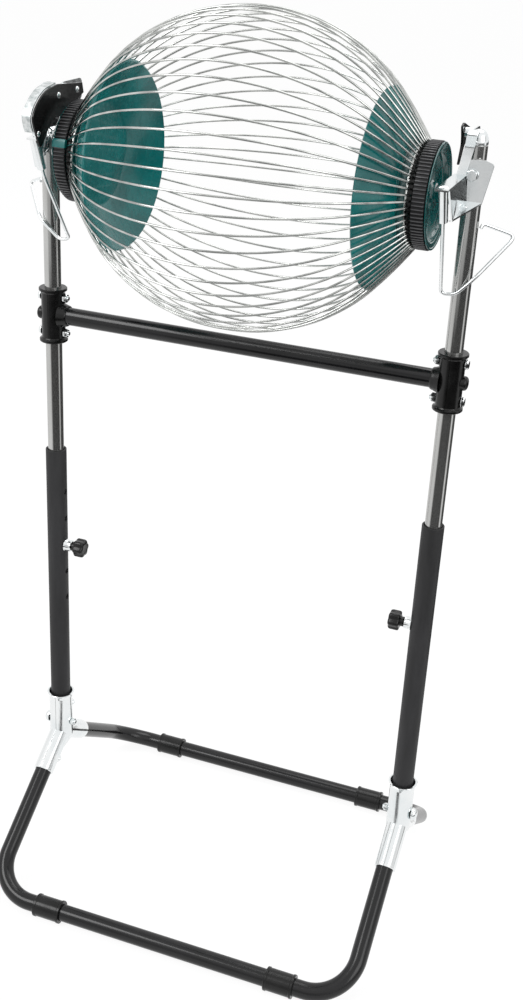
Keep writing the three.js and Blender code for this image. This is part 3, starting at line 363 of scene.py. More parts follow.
def roundedPath(corners, radius, steps=10):
    # Straight runs between corners, each inner corner cut by start * (1-t)^2 + corner * 2t(1-t) + end * t^2.
    corners = np.asarray(corners, float)
    share = np.linspace(0, 1, steps)[:, None]
    path = [corners[:1]]
    for before, corner, after in zip(corners[:-2], corners[1:-1], corners[2:]):
        back, ahead = before - corner, after - corner
        reach = min(radius, 0.45 * np.linalg.norm(back), 0.45 * np.linalg.norm(ahead))
        start = corner + back / np.linalg.norm(back) * reach
        end = corner + ahead / np.linalg.norm(ahead) * reach
        path.append(start * (1 - share) ** 2 + corner * 2 * share * (1 - share) + end * share ** 2)
    path.append(corners[-1:])
    return np.concatenate(path)


def plate(outline, low, high, across):
    # A flat outline carried from low to high along one axis; across is that axis, outline the other two in order.
    outline = np.asarray(outline, float)
    others = [axis for axis in range(3) if axis != across]
    points = np.zeros((2, len(outline), 3))
    points[:, :, others] = outline
    points[0, :, across] = low
    points[1, :, across] = high
    count = len(outline)
    faces = [list(range(count))[::-1], list(range(count, 2 * count))]
    faces += gridFaces(2, count).tolist()
    return points.reshape(-1, 3), faces


def roundedOutline(corners, radius, steps=5):
    # A closed outline whose corners are cut by the same curve as in roundedPath.
    corners = np.asarray(corners, float)
    looped = np.concatenate([corners[-1:], corners, corners[:1]])
    return roundedPath(looped, radius, steps)[1:-1]


def strip(path, thickness, low, high):
    # Sheet that follows (y, z) points with its thickness on one side, from x = low to x = high.
    path = np.asarray(path, float)
    tangent = unitTangents(path)
    normal = np.stack([-tangent[:, 1], tangent[:, 0]], 1)
    outline = np.concatenate([path, (path + normal * thickness)[::-1]])
    points, faces = plate(outline, low, high, 0)
    count = len(path)
    capQuads = [[k, k + 1, 2 * count - 2 - k, 2 * count - 1 - k] for k in range(count - 1)]
    upper = [[corner + 2 * count for corner in quad] for quad in capQuads]
    return points, capQuads + upper + faces[2:]


def hexPrism(origin, axis, across, height):
    # Radius = the profile's, but never past the side, across / 2 / cos(angle from the side's middle).
    def outline(radius, angle):
        turn = (angle + math.pi / 6) % (math.pi / 3) - math.pi / 6
        return np.minimum(radius, across / 2 / np.cos(turn))

    corner = across / 2 / math.cos(math.pi / 6)
    profile = [(0, 0), (corner * 0.97, 0), (corner * 1.1, height * 0.06), (corner * 1.1, height * 0.8),
               (across / 2 * 0.94, height), (0, height)]
    return turned(profile, origin, axis, 48, outline)


def roundBar(origin, axis, radius, length, chamfer=0.4, steps=40):
    # Cylinder with cut edges.
    return turned(ringProfile(0, radius, 0, length, chamfer), origin, axis, steps)


def threadedBar(origin, axis, radius, length, pitch=0.8):
    # Straight bar whose surface rises and falls once per pitch.
    count = int(length / pitch) * 2
    along = np.linspace(0.2, length - 0.2, count)
    ridge = radius - 0.28 * (np.arange(count) % 2)
    profile = [(0, 0), (radius - 0.5, 0)] + list(zip(ridge, along)) + [(radius - 0.5, length), (0, length)]
    return turned(profile, origin, axis, 24)


def flipped(shape):
    # Mirror image in x = 0.
    points, faces = shape
    return points * np.array([-1, 1, 1]), faces


# Pieces

def finishMesh(mesh, sharpAngle):
    # Merges doubles, drops slivers and turns the faces outwards.
    bm = bmesh.new()
    bm.from_mesh(mesh)
    bmesh.ops.remove_doubles(bm, verts=bm.verts, dist=0.000002)
    bmesh.ops.dissolve_degenerate(bm, edges=bm.edges, dist=0.000001)
    bmesh.ops.recalc_face_normals(bm, faces=bm.faces)
    bm.to_mesh(mesh)
    bm.free()
    mesh.shade_smooth()
    mesh.set_sharp_from_angle(angle=math.radians(sharpAngle))


def newObject(name, shape, sharpAngle=40):
    points, faces = shape
    mesh = bpy.data.meshes.new(name)
    mesh.from_pydata((np.asarray(points) * metre).tolist(), [], [list(map(int, face)) for face in faces])
    made = bpy.data.objects.new(name, mesh)
    bpy.context.scene.collection.objects.link(made)
    finishMesh(mesh, sharpAngle)
    return made


def cutWith(piece, cutterShape, operation):
    # Replaces a piece's mesh by its union, difference or intersection with a closed shape.
    cutter = newObject("cutter", cutterShape)
    modifier = piece.modifiers.new("cut", "BOOLEAN")
    modifier.operation = operation
    modifier.solver = "EXACT"
    modifier.object = cutter
    bpy.context.view_layer.update()
    shown = piece.evaluated_get(bpy.context.evaluated_depsgraph_get())
    baked = bpy.data.meshes.new_from_object(shown)
    piece.modifiers.clear()
    old = piece.data
    piece.data = baked
    bpy.data.meshes.remove(old)
    bpy.data.objects.remove(cutter)


def makePiece(name, shape, finish, body, replaced=(), bevel=0.0, sharpAngle=40, cutters=()):
    piece = newObject(name, shape, sharpAngle)
    for cutter, operation in cutters:
        cutWith(piece, cutter, operation)
        finishMesh(piece.data, sharpAngle)
    if bevel > 0:
        edge = piece.modifiers.new("edge", "BEVEL")
        edge.width = bevel * metre
        edge.segments = 2
        edge.limit_method = "ANGLE"
        edge.angle_limit = math.radians(35)
        edge.harden_normals = True
    piece.data.materials.clear()
    piece.data.materials.append(finishes[finish])
    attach(piece, body)
    if replaced:
        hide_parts(*replaced)
    return piece


def bothSides(name, shape, finish, body, node, cutters=(), **extra):
    # One piece on the right and its mirror image on the left, each for its own CAD node.
    bodies = body if isinstance(body, tuple) else (body, body)
    for side, sideBody, turnedTo in (("right", bodies[0], tuple), ("left", bodies[1], flipped)):
        sideCutters = [(turnedTo(cutter), operation) for cutter, operation in cutters]
        makePiece(side + name, turnedTo(shape), finish, sideBody, [side + "_" + node], cutters=sideCutters, **extra)


def boxShape(low, high):
    # Box between two opposite corners.
    outline = [(low[0], low[1]), (high[0], low[1]), (high[0], high[1]), (low[0], high[1])]
    return plate(outline, low[2], high[2], 2)


halfRoom = {"reach": 120, "top": 1000}


def bothShells(name, node, finish, body, shape, joined, bored, seam, **extra):
    # A piece split in the posts' plane into an outer and an inner shell, half a seam away from it, on both sides.
    for word, added in joined.items():
        side = 1 if word == "outer" else -1
        low, high = sorted((postX + side * seam / 2, postX + side * halfRoom["reach"]))
        keep = boxShape((low, -halfRoom["reach"], 0), (high, halfRoom["reach"], halfRoom["top"]))
        cutters = [(part, "UNION") for part in added] + [(part, "DIFFERENCE") for part in bored]
        cutters.append((keep, "INTERSECT"))
        shellName = name + word.capitalize() + "Shell"
        bothSides(shellName, shape, finish, body, node + "_" + word + "_shell", cutters, **extra)


# Base tubes

leg = {"rise": 88, "start": 42, "bend": 48, "tipInset": 34, "jointGap": 1}


def legPath(side):
    # Down the slope, round a quarter circle in the sloping plane and along X into the sleeve.
    length = math.hypot(barY - leg["start"], leg["rise"])

    def onSlope(x, along):
        share = np.asarray(along, float) / length
        y = side * (barY - (barY - leg["start"]) * share)
        return np.stack([x + 0 * share, y, baseZ + leg["rise"] * share], -1)

    turn = np.linspace(0, math.pi / 2, 28)
    straight = np.linspace(length + leg["tipInset"], leg["bend"] + 2, 12)
    down = onSlope(postX + 0 * straight, straight)
    bend = onSlope(postX - leg["bend"] * (1 - np.cos(turn)), leg["bend"] * (1 - np.sin(turn)))
    end = onSlope(np.array([sleeveX + leg["jointGap"] / 2]), np.array([0.0]))
    return np.concatenate([down, bend, end])


for endName, side in (("Front", -1), ("Rear", 1)):
    bothSides(endName + "Leg", tube(legPath(side), baseRadius, 36), "powder", "stand", endName.lower() + "_leg")
    barEnd = sleeveX - leg["jointGap"] / 2
    barPath = np.linspace((-barEnd, side * barY, baseZ), (barEnd, side * barY, baseZ), 9)
    makePiece(endName.lower() + "Bar", tube(barPath, baseRadius, 36), "powder", "stand", [endName.lower() + "_bar"])

# Sleeves: moulded couplings with a rim at each end and a flat foot
coupling = {"length": 32, "radius": 12.2, "rim": 12.9, "rimWidth": 3, "edge": 0.4, "step": 0.3, "gap": 0.15}


def sleeveShape(side):
    # A turned ring whose points below the floor are lifted onto it.
    half = coupling["length"] / 2
    rimEnd = coupling["rimWidth"] - half
    oneEnd = ringProfile(baseRadius + coupling["gap"], coupling["rim"], -half, rimEnd, coupling["edge"])[:-1]
    profile = bothEnds(oneEnd + [(coupling["radius"], rimEnd + coupling["step"])])
    points, faces = closedRing(profile, (sleeveX, side * barY, baseZ), (1, 0, 0), 72)
    points[:, 2] = np.maximum(points[:, 2], 0)
    return points, faces


for endName, side in (("Front", -1), ("Rear", 1)):
    bothSides(endName + "Sleeve", sleeveShape(side), "plastic", "stand", endName.lower() + "_sleeve")
print("base tubes and sleeves are made")

# Lower posts: black tubes with a row of height holes on their inner side
lowerPost = {"bottom": 152, "top": 500, "wall": 2.1, "pitch": 33.5, "hole": 3.4, "edge": 0.5}


def lowerPostShape():
    # Tube wall with a rounded upper edge.
    outer, inner = lowerPostRadius, lowerPostRadius - lowerPost["wall"]
    edge, bottom, top = lowerPost["edge"], lowerPost["bottom"], lowerPost["top"]
    profile = [(inner, bottom), (outer, bottom), (outer, top - edge), (outer - edge * 0.4, top - edge * 0.3),
               (outer - edge, top), (inner + edge, top), (inner, top - edge)]
    return closedRing(profile, (postX, 0, 0), (0, 0, 1), 96)


heightHoles = []
for step in (-2, -1, 0, 1, 2):
    holeStart = (postX - lowerPostRadius - 4, 0, knobZ + step * lowerPost["pitch"])
    heightHoles.append((roundBar(holeStart, (1, 0, 0), lowerPost["hole"], 9, 0.1), "DIFFERENCE"))
bothSides("LowerPost", lowerPostShape(), "satin", "stand", "lower_post", heightHoles)

# Clamp knobs with their bushings
knob = {"lobes": 6, "radius": 10.5, "dip": 1.6, "length": 12, "neck": 5.2, "neckLength": 4, "screw": 3.1, "gap": 0.3}
bushing = {"length": 7, "radius": 6.5, "bore": 3.4}
knobBack = postX - lowerPostRadius - bushing["length"] - knob["gap"]
neckEnd = knobBack - knob["neckLength"]


def knobShape():
    # Radius = full radius less half the dip times (1 - cos of six times the angle).
    def lobed(radius, angle):
        return radius * (1 - knob["dip"] / knob["radius"] * (1 - np.cos(knob["lobes"] * angle)) / 2)

    full, length = knob["radius"], knob["length"]
    profile = [(0, 0), (knob["neck"], 0), (full * 0.9, 0.2), (full * 0.97, 0.8), (full, 1.8), (full, length - 3),
               (full * 0.97, length - 1.5), (full * 0.9, length - 0.6), (full * 0.78, length - 0.1),
               (full * 0.6, length), (full * 0.55, length - 0.5), (0, length - 0.8)]
    head = turned(profile, (neckEnd, 0, knobZ), (-1, 0, 0), 96, lobed)
    neck = roundBar((neckEnd - 1, 0, knobZ), (1, 0, 0), knob["neck"], knob["neckLength"] + 1)
    screw = threadedBar((neckEnd, 0, knobZ), (1, 0, 0), knob["screw"], postX - chromeRadius - knob["gap"] - neckEnd)
    return combine(head, neck, screw)


def bushingShape():
    # Ring that flares where it is welded to the post.
    length, radius, bore = bushing["length"], bushing["radius"], bushing["bore"]
    profile = [(bore, 0), (radius - 0.8, 0), (radius, 0.8), (radius, length - 0.5), (radius + 0.9, length + 1.0),
               (bore, length + 1.6)]
    return closedRing(profile, (postX - lowerPostRadius - length, 0, knobZ), (1, 0, 0), 64)


bothSides("Knob", knobShape(), "plastic", ("right_knob", "left_knob"), "knob")
bothSides("KnobBushing", bushingShape(), "zinc", "stand", "knob_bushing")

# Chrome posts and their caps
chromePost = {"bottom": 306, "top": 875, "capRise": 13, "plug": 12, "brim": 2}


def capShape():
    # Plug inside the post under a brim and a dome.
    top, radius, brim = chromePost["top"] + 0.3, chromeRadius, chromePost["brim"]
    bottom, plug = top - chromePost["plug"], radius - 1.8
    skirt = [(0, bottom), (plug, bottom), (plug, top), (radius - 0.3, top), (radius, top + 0.3)]
    dome = domeProfile(radius, top + brim, chromePost["capRise"] - brim, 0.8, 14)
    return turned(skirt + dome, (postX, 0, 0), (0, 0, 1), 64)


postLength = chromePost["top"] - chromePost["bottom"]
postShape = roundBar((postX, 0, chromePost["bottom"]), (0, 0, 1), chromeRadius, postLength, 0.5, 96)
bothSides("ChromePost", postShape, "chrome", "upper_frame", "chrome_post")
bothSides("PostCap", capShape(), "zinc", "upper_frame", "post_cap")
print("posts, knobs and caps are made")

# Cross bar and the clamps that hold it
clamp = {
    "height": 58, "radius": 12.45, "collar": 14.85, "collarWidth": 3.4, "edge": 0.7, "bore": chromeRadius + 0.2,
    "socket": 11.1, "socketReach": 6, "root": 9.5, "dome": 7, "domeRise": 5, "domeBase": 1.5, "boltOffset": 19,
    "seam": 0.35,
}
crossRadius = 9.3
barHalf = postX - clamp["radius"]
makePiece("crossBar", tube(np.linspace((-barHalf, 0, crossZ), (barHalf, 0, crossZ), 9), crossRadius, 48), "powder",
          "upper_frame", ["cross_bar"])


def clampBody():
    # Ring with a collar at both ends.
    radius, low = clamp["radius"], -clamp["height"] / 2
    collarEnd = low + clamp["collarWidth"]
    oneEnd = ringProfile(clamp["bore"], clamp["collar"], low, collarEnd, clamp["edge"])[:-1]
    oneEnd += [(radius + 0.8, collarEnd + 0.4), (radius, collarEnd + 1.6)]
    return closedRing(bothEnds(oneEnd), (postX, 0, crossZ), (0, 0, 1), 96)


def clampSocket():
    # Ring round the end of the cross bar, widening into the clamp.
    wide, end, root = clamp["socket"], clamp["radius"] + clamp["socketReach"], clamp["root"]
    bore = crossRadius + 0.2
    profile = [(bore, root), (wide + 2.4, root), (wide + 1.2, 13), (wide + 0.3, 15.5), (wide, 17),
               (wide - 0.4, end - 0.6), (wide - 1, end), (bore, end)]
    return closedRing(profile, (postX, 0, crossZ), (-1, 0, 0), 72)


def clampDome():
    # Low dome on the outer side, in line with the cross bar.
    base = clamp["domeBase"]
    dome = domeProfile(clamp["dome"], clamp["radius"] + base, clamp["domeRise"] - base, 0.7, 8)
    profile = [(0, clamp["root"]), (clamp["dome"], clamp["root"])] + dome
    return turned(profile, (postX, 0, crossZ), (1, 0, 0), 48)


clampJoined = {"outer": [clampDome()], "inner": [clampSocket()]}
bothShells("Clamp", "clamp", "plastic", "upper_frame", clampBody(), clampJoined, [], clamp["seam"], sharpAngle=32)

clampBolt = {"across": 8.4, "head": 3.2, "shank": 5, "nut": 4, "stickOut": 1.8}


def boltShape(face, y, z, bolt):
    # Head and washer outside the post's plane by face, shank through to the nut and a bit of thread past it.
    headX, nutX, across = postX + face, postX - face, bolt["across"]
    washer = roundBar((headX + 0.05, y, z), (1, 0, 0), across / 2 + 0.9, 0.7, 0.2)
    bar = threadedBar((headX, y, z), (-1, 0, 0), bolt["shank"] / 2, 2 * face + bolt["nut"] + bolt["stickOut"])
    nut = hexPrism((nutX, y, z), (-1, 0, 0), across, bolt["nut"])
    return combine(hexPrism((headX, y, z), (1, 0, 0), across, bolt["head"]), washer, bar, nut)


for level, word in ((-1, "lower"), (1, "upper")):
    shape = boltShape(clamp["radius"] + 0.3, 0, crossZ + level * clamp["boltOffset"], clampBolt)
    bothSides("Clamp" + word.capitalize() + "Bolt", shape, "zinc", "upper_frame", "clamp_" + word + "_bolt")
print("cross bar and clamps are made")

# Base brackets: pressed shells that meet in the plane of the post, with lips behind the post and under the front arm
bracket = {
    "wall": 2, "mouthTop": 183, "flare": 2.4, "mouthDepth": 7, "lip": 9, "lipThickness": 2, "seam": 0.3,
    "underEnd": 46, "underTurn": 22, "underBolt": 33.6, "throughBolt": 142, "domeRadius": 7, "domeRise": 6.3,
    "domeRim": 1.2,
}
bracketBolt = {"across": 7.8, "head": 3.4, "shank": 5, "nut": 4, "stickOut": 1.6}
legSlope = leg["rise"] / (barY - leg["start"])
armAngle = math.atan(legSlope)
apexZ = baseZ + leg["rise"] + legSlope * leg["start"]
armLength = leg["start"] / math.cos(armAngle) + 6
postRing = lowerPostRadius + 0.3 + bracket["wall"]
armRing = baseRadius + 0.3 + bracket["wall"]
rearLip = lowerPostRadius + bracket["wall"] + bracket["lip"]
lipTop = bracket["mouthTop"] - bracket["mouthDepth"] - bracket["lipThickness"]
underOut = armRing + bracket["lip"]


def armDirection(side):
    # (0, side * cos of the slope's angle, -sin of it); side is -1 for the front arm and 1 for the rear one.
    return np.array([0, side * math.cos(armAngle), -math.sin(armAngle)])


def besideArm(along, below, side):
    # (y, z) = apex + along * arm direction + below * the direction square to it, downwards.
    y = side * (along * math.cos(armAngle) - below * math.sin(armAngle))
    return y, apexZ - along * math.sin(armAngle) - below * math.cos(armAngle)


def bracketSocket():
    # Cup round the post's foot that flares at its mouth.
    depth, flare, top = bracket["mouthDepth"], bracket["flare"], bracket["mouthTop"]
    bottom = apexZ - postRing / 2
    profile = [(0, bottom), (postRing, bottom), (postRing, top - depth)]
    profile += [(postRing + flare * out, top - depth * down) for out, down in ((0.08, 0.75), (0.3, 0.5), (0.65, 0.2))]
    profile += [(postRing + flare, top - 0.4), (postRing + flare - 0.4, top), (0, top)]
    return turned(profile, (postX, 0, 0), (0, 0, 1), 64)


def bracketArms(start, radius, chamfer):
    # Bars down both slopes, from a distance past the apex.
    apex = np.array([postX, 0, apexZ])
    ways = [armDirection(side) for side in (-1, 1)]
    return [roundBar(apex + way * start, way, radius, armLength, chamfer, 64) for way in ways]


def bracketLips():
    # Flat lips in the plane of the post, behind it and under the front arm.
    half, inner = bracket["lipThickness"] + bracket["seam"] / 2, armRing - 2
    upright = [(0, apexZ), (rearLip, apexZ + bracket["lip"]), (rearLip, lipTop), (0, lipTop)]
    under = [(0, apexZ), besideArm(bracket["underEnd"], inner, -1), besideArm(bracket["underEnd"], underOut, -1),
             besideArm(bracket["underTurn"], underOut, -1), besideArm(bracket["underTurn"], underOut, 1),
             besideArm(bracket["underBolt"], inner, 1)]
    return [plate(roundedOutline(outline, 4), postX - half, postX + half, 0) for outline in (upright, under)]


def bracketBores():
    # Room for the post, with a flared mouth, and for both legs.
    depth, flare, top, bore = bracket["mouthDepth"], bracket["flare"], bracket["mouthTop"], lowerPostRadius + 0.2
    bottom = lowerPost["bottom"] - 0.3
    profile = [(0, bottom), (bore, bottom), (bore, top - depth), (bore + flare * 0.3, top - depth * 0.5),
               (bore + flare, top + 0.1), (bore + flare, top + 5), (0, top + 5)]
    start = leg["start"] / math.cos(armAngle) - leg["tipInset"] - 0.3
    return [turned(profile, (postX, 0, 0), (0, 0, 1), 64)] + bracketArms(start, baseRadius + 0.2, 0.1)


bracketAdded = bracketArms(0, armRing, 0.5) + bracketLips()
bothShells("Bracket", "bracket", "zinc", "stand", bracketSocket(), {"outer": bracketAdded, "inner": bracketAdded},
           bracketBores(), bracket["seam"], bevel=0.35, sharpAngle=30)


def domeBolt():
    # Domed head outside the socket, shank through it, nut on the inner side.
    face, radius, rim, z = postRing + 0.3, bracket["domeRadius"], bracket["domeRim"], bracket["throughBolt"]
    profile = [(0, 0), (radius, 0)] + domeProfile(radius, rim, bracket["domeRise"] - rim, 0.8, 12)
    head = turned(profile, (postX + face, 0, z), (1, 0, 0), 48)
    length = 2 * face + bracketBolt["nut"] + bracketBolt["stickOut"]
    bar = threadedBar((postX + face, 0, z), (-1, 0, 0), bracketBolt["shank"] / 2, length)
    return combine(head, bar, hexPrism((postX - face, 0, z), (-1, 0, 0), bracketBolt["across"], bracketBolt["nut"]))


lipFace = bracket["lipThickness"] + 0.45
underY, underZ = besideArm(bracket["underBolt"], underOut - bracket["lip"] / 2, -1)
bothSides("BracketBolt1", domeBolt(), "zinc", "stand", "bracket_bolt_1")
for number, (y, z) in ((2, (rearLip - bracket["lip"] / 2, lipTop - 2 * bracket["lip"])), (3, (underY, underZ))):
    shape = boltShape(lipFace, y, z, bracketBolt)
    bothSides("BracketBolt" + str(number), shape, "zinc", "stand", "bracket_bolt_" + str(number))
print("base brackets are made")

# Cradles beside the post tops: folded sheet with web, shelf, arm, flange, gusset and rolled knuckle
cradle = {
    "outerX": postX - chromeRadius - 0.3, "width": 11.6, "shelfFront": -57, "shelfReach": 5, "shelfRise": 20.5,
    "shelfDrop": 1.5, "shelfSlope": 0.095, "skew": 0.09, "twist": 0.0027, "webFront": -43, "webBack": 29, "webDrop": 12,
    "shoulderY": 8, "neck": (22, 42.5), "tabFront": 5, "tabBack": 48, "tabCorner": 7, "flangeTop": (9.5, 38),
    "flangeCorner": (18.5, 35), "flangeBottom": (11, -1), "foldTop": (-5.5, 37), "foldBottom": (-2.5, -1),
    "flangeRound": 2.5, "hangerFront": -13.5, "knuckle": 4.6, "knuckleHeight": 31, "knuckleLean": 13,
}
arm = {
    "footY": -12.5, "inset": 14.6, "width": 8.8, "lean": 0.18, "bendRise": 48.2, "nose": (-17.5, 59.7),
    "tip": (-7, 62.4), "bend": 2,
}
cradleInnerX = cradle["outerX"] - cradle["width"]
webInnerX = cradle["outerX"] - sheet
flangeFront = -(chromeRadius + 0.3 + sheet)
shelfZ = axleZ + cradle["shelfRise"]
webBottom = axleZ - cradle["webDrop"]
bailRadius = 1.65
knuckleX = webInnerX - cradle["knuckle"] / 2 - bailRadius
knuckleTop = np.array([knuckleX, cradle["shelfFront"], shelfZ - sheet])
knuckleBottom = knuckleTop + np.array([0, cradle["knuckleLean"], -cradle["knuckleHeight"]])
pivot = {"shoulder": 4.6, "pin": 2.4, "head": 3.0, "headThickness": 1.4}
gussetRivet = {"y": -19, "rise": sheet + 8.16, "axis": (0, -0.32, 0.95), "radius": 2.4, "height": 0.8}
latchPivot = (14, axleZ + 55.5)
keeperPin = (38, axleZ + 52)
tabRises = {"left": 62, "right": 58}
latch = {
    "width": 104, "height": 55, "backY": 31, "topRise": 64.5, "thickness": 2, "stud": (0.457, 0.42), "guardWidth": 9,
    "studRadius": 1.3,
}
latchOuterX = cradleInnerX - 0.3
latchInnerX = latchOuterX - latch["thickness"]
springX = latchInnerX - 2.7
springFoot = np.array([springX, -40, axleZ + 19])
springFootRadius = 1.5


def latchPoint(widthShare, heightShare):
    # (y, z) = back edge - width * (1 - width share), top edge - height * (1 - height share).
    y = latch["backY"] - latch["width"] * (1 - widthShare)
    return y, axleZ + latch["topRise"] - latch["height"] * (1 - heightShare)


def skewed(shape, rate, axis, start, moved=0):
    # The moved coordinate grows by rate times the distance along an axis past start.
    points, faces = shape
    points = points.copy()
    points[:, moved] += rate * np.maximum(points[:, axis] - start, 0)
    return points, faces


def shelfTop(y):
    # The shelf rises evenly towards the rear.
    return shelfZ - cradle["shelfDrop"] + cradle["shelfSlope"] * (y - cradle["shelfFront"])


def webShape(tabRise):
    # The web behind the flange, with its tab.
    tabZ, corner = axleZ + tabRise, cradle["tabCorner"]
    neckY, neckZ = cradle["neck"][0], axleZ + cradle["neck"][1]
    tab = roundedOutline([
        (cradle["webBack"], neckZ - corner), (cradle["tabBack"], neckZ), (cradle["tabBack"], tabZ),
        (cradle["tabFront"], tabZ), (cradle["tabFront"], neckZ + corner), (neckY, neckZ),
    ], 6)
    front = cradle["hangerFront"]
    outline = [(front, shelfTop(front) - 0.3), (front, axleZ - 4), (axleY - 4, webBottom)]
    outline += [(cradle["webBack"], webBottom)] + [tuple(place) for place in tab] + [(cradle["shoulderY"], shelfZ)]
    return plate(outline, webInnerX, cradle["outerX"], 0)


def twistedWeb(shape, front):
    # x grows by (skew + twist * distance below the shelf) * distance behind the shelf's front.
    points, faces = shape
    points = points.copy()
    points[:, 0] += (cradle["skew"] + cradle["twist"] * (shelfZ - points[:, 2])) * (points[:, 1] - front)
    return points, faces


def cradleAdditions(pinPlace):
    # Front web, shelf, arm, flange, gusset and the shoulder round the pin.
    front = cradle["shelfFront"]
    foldEnd = flangeFront + sheet / 2
    bottom, corner, top, foldTop, foldBottom = [
        (postX + cradle[name][0], axleZ + cradle[name][1])
        for name in ("flangeBottom", "flangeCorner", "flangeTop", "foldTop", "foldBottom")]
    frontWeb = plate([(front, shelfTop(front) - 0.2), (cradle["webFront"], webBottom), (foldEnd, foldBottom[1]),
                      (foldEnd, shelfTop(foldEnd) - 0.2)], webInnerX, cradle["outerX"], 0)
    frontWeb = twistedWeb(frontWeb, front)
    shelfPath = [(y, shelfTop(y)) for y in (front - cradle["shelfReach"], front, foldEnd)]
    shelf = skewed(strip(np.array(shelfPath), -sheet, cradleInnerX, cradle["outerX"]), cradle["skew"], 1, front)
    armPath = roundedPath([
        (arm["footY"], shelfTop(arm["footY"]) - sheet), (flangeFront, axleZ + arm["bendRise"]),
        (arm["nose"][0], axleZ + arm["nose"][1]), (arm["tip"][0], axleZ + arm["tip"][1]),
    ], arm["bend"], 5)
    armLow = postX - arm["inset"]
    hook = skewed(strip(armPath, -sheet, armLow, armLow + arm["width"]), arm["lean"], 2, shelfZ)
    rounded = roundedPath([bottom, corner, top, foldTop], cradle["flangeRound"], 6)
    flange = plate([foldBottom] + [tuple(place) for place in rounded], flangeFront, flangeFront + sheet, 1)
    webX, webFront = cradle["outerX"], cradle["webFront"]
    gusset = plate([
        (webX - 0.4, webFront), (webX + 1.8, webFront), (bottom[0], flangeFront), (bottom[0], flangeFront + sheet),
        (foldBottom[0] - sheet, flangeFront + sheet),
    ], webBottom, webBottom + sheet, 2)
    gusset = skewed(gusset, (bottom[1] - webBottom) / (flangeFront - webFront), 1, webFront, 2)
    shoulderX = latchOuterX + 0.3
    shoulder = roundBar((shoulderX, *pinPlace), (1, 0, 0), pivot["shoulder"], cradle["outerX"] - shoulderX)
    return [frontWeb, shelf, hook, flange, gusset, shoulder]


def cradleExtras(pinPlace):
    # Rolled knuckle, pin with its head and the gusset's rivet.
    knuckleAxis = knuckleBottom - knuckleTop
    profile = ringProfile(bailRadius + 0.45, cradle["knuckle"], 0, np.linalg.norm(knuckleAxis), 0.4)
    roll = closedRing(profile, knuckleTop, knuckleAxis, 40)
    pin = roundBar((latchInnerX - 0.9, *pinPlace), (1, 0, 0), pivot["pin"], 8)
    head = rivetHead((latchInnerX - 0.3, *pinPlace), (-1, 0, 0), pivot["head"], pivot["headThickness"])
    rivet = rivetHead((postX - 1.5, gussetRivet["y"], webBottom + gussetRivet["rise"]), gussetRivet["axis"],
                      gussetRivet["radius"], gussetRivet["height"])
    return combine(roll, pin, head, rivet)


def springPost():
    # Post that holds the foot of the spring, a rod of radius springFootRadius with a rounded end.
    foot, length = springFootRadius, cradle["outerX"] - springX
    return turned([(0, -0.7), (foot * 0.7, -0.5), (foot, 0.1), (foot, length), (0, length)],
                  (springX - 0.15, springFoot[1], springFoot[2]), (1, 0, 0), 40)


def rivetHead(origin, axis, radius, rise):
    # Height over the plate = rise * sqrt(1 - (r / radius)^2), a flattened dome.
    return turned([(0, -0.4), (radius, -0.4)] + domeProfile(radius, 0, rise, 1, 7), origin, axis, 32)


slotHalf = axleRadius + 0.45
axleHole = roundBar((cradle["outerX"] - 6, axleY, axleZ), (1, 0, 0), slotHalf, 12, 0.1, 48)
axleSlot = boxShape((cradleInnerX - 3, axleY - slotHalf, axleZ), (cradle["outerX"] + 3, axleY + slotHalf, axleZ + 26))


def addShape(piece, shape):
    # Joins a separate closed shape to a finished piece's mesh.
    extra = newObject("extra", shape)
    bm = bmesh.new()
    bm.from_mesh(piece.data)
    bm.from_mesh(extra.data)
    bm.to_mesh(piece.data)
    bm.free()
    bpy.data.objects.remove(extra)
    piece.data.shade_smooth()
    piece.data.set_sharp_from_angle(angle=math.radians(32))


rightCuts = [(shape, "UNION") for shape in cradleAdditions(keeperPin)] + [(axleHole, "DIFFERENCE")]
rightCradle = makePiece("rightCradle", webShape(tabRises["right"]), "zinc", "upper_frame", ["right_cradle"],
                        cutters=rightCuts, bevel=0.3)
addShape(rightCradle, cradleExtras(keeperPin))
leftCuts = [(flipped(shape), "UNION") for shape in cradleAdditions(latchPivot)]
leftCuts += [(flipped(shape), "DIFFERENCE") for shape in (axleHole, axleSlot)]
leftCradle = makePiece("leftCradle", flipped(webShape(tabRises["left"])), "zinc", "upper_frame", ["left_cradle"],
                       cutters=leftCuts, bevel=0.3)
addShape(leftCradle, flipped(combine(cradleExtras(latchPivot), springPost())))

bolt = {"rise": 24, "across": 9.4, "head": 3.6, "washer": 5.7, "washerWidth": 0.8, "shank": 3, "reach": 9}
boltZ = axleZ + bolt["rise"]
flangeBolt = combine(
    hexPrism((postX, flangeFront - 0.3, boltZ), (0, -1, 0), bolt["across"], bolt["head"]),
    roundBar((postX, flangeFront - 0.25, boltZ), (0, -1, 0), bolt["washer"], bolt["washerWidth"], 0.2),
    roundBar((postX, flangeFront - 0.5, boltZ), (0, 1, 0), bolt["shank"], bolt["reach"]),
)
bothSides("FlangeBolt", flangeBolt, "zinc", "upper_frame", "flange_bolt")
print("cradles are made")

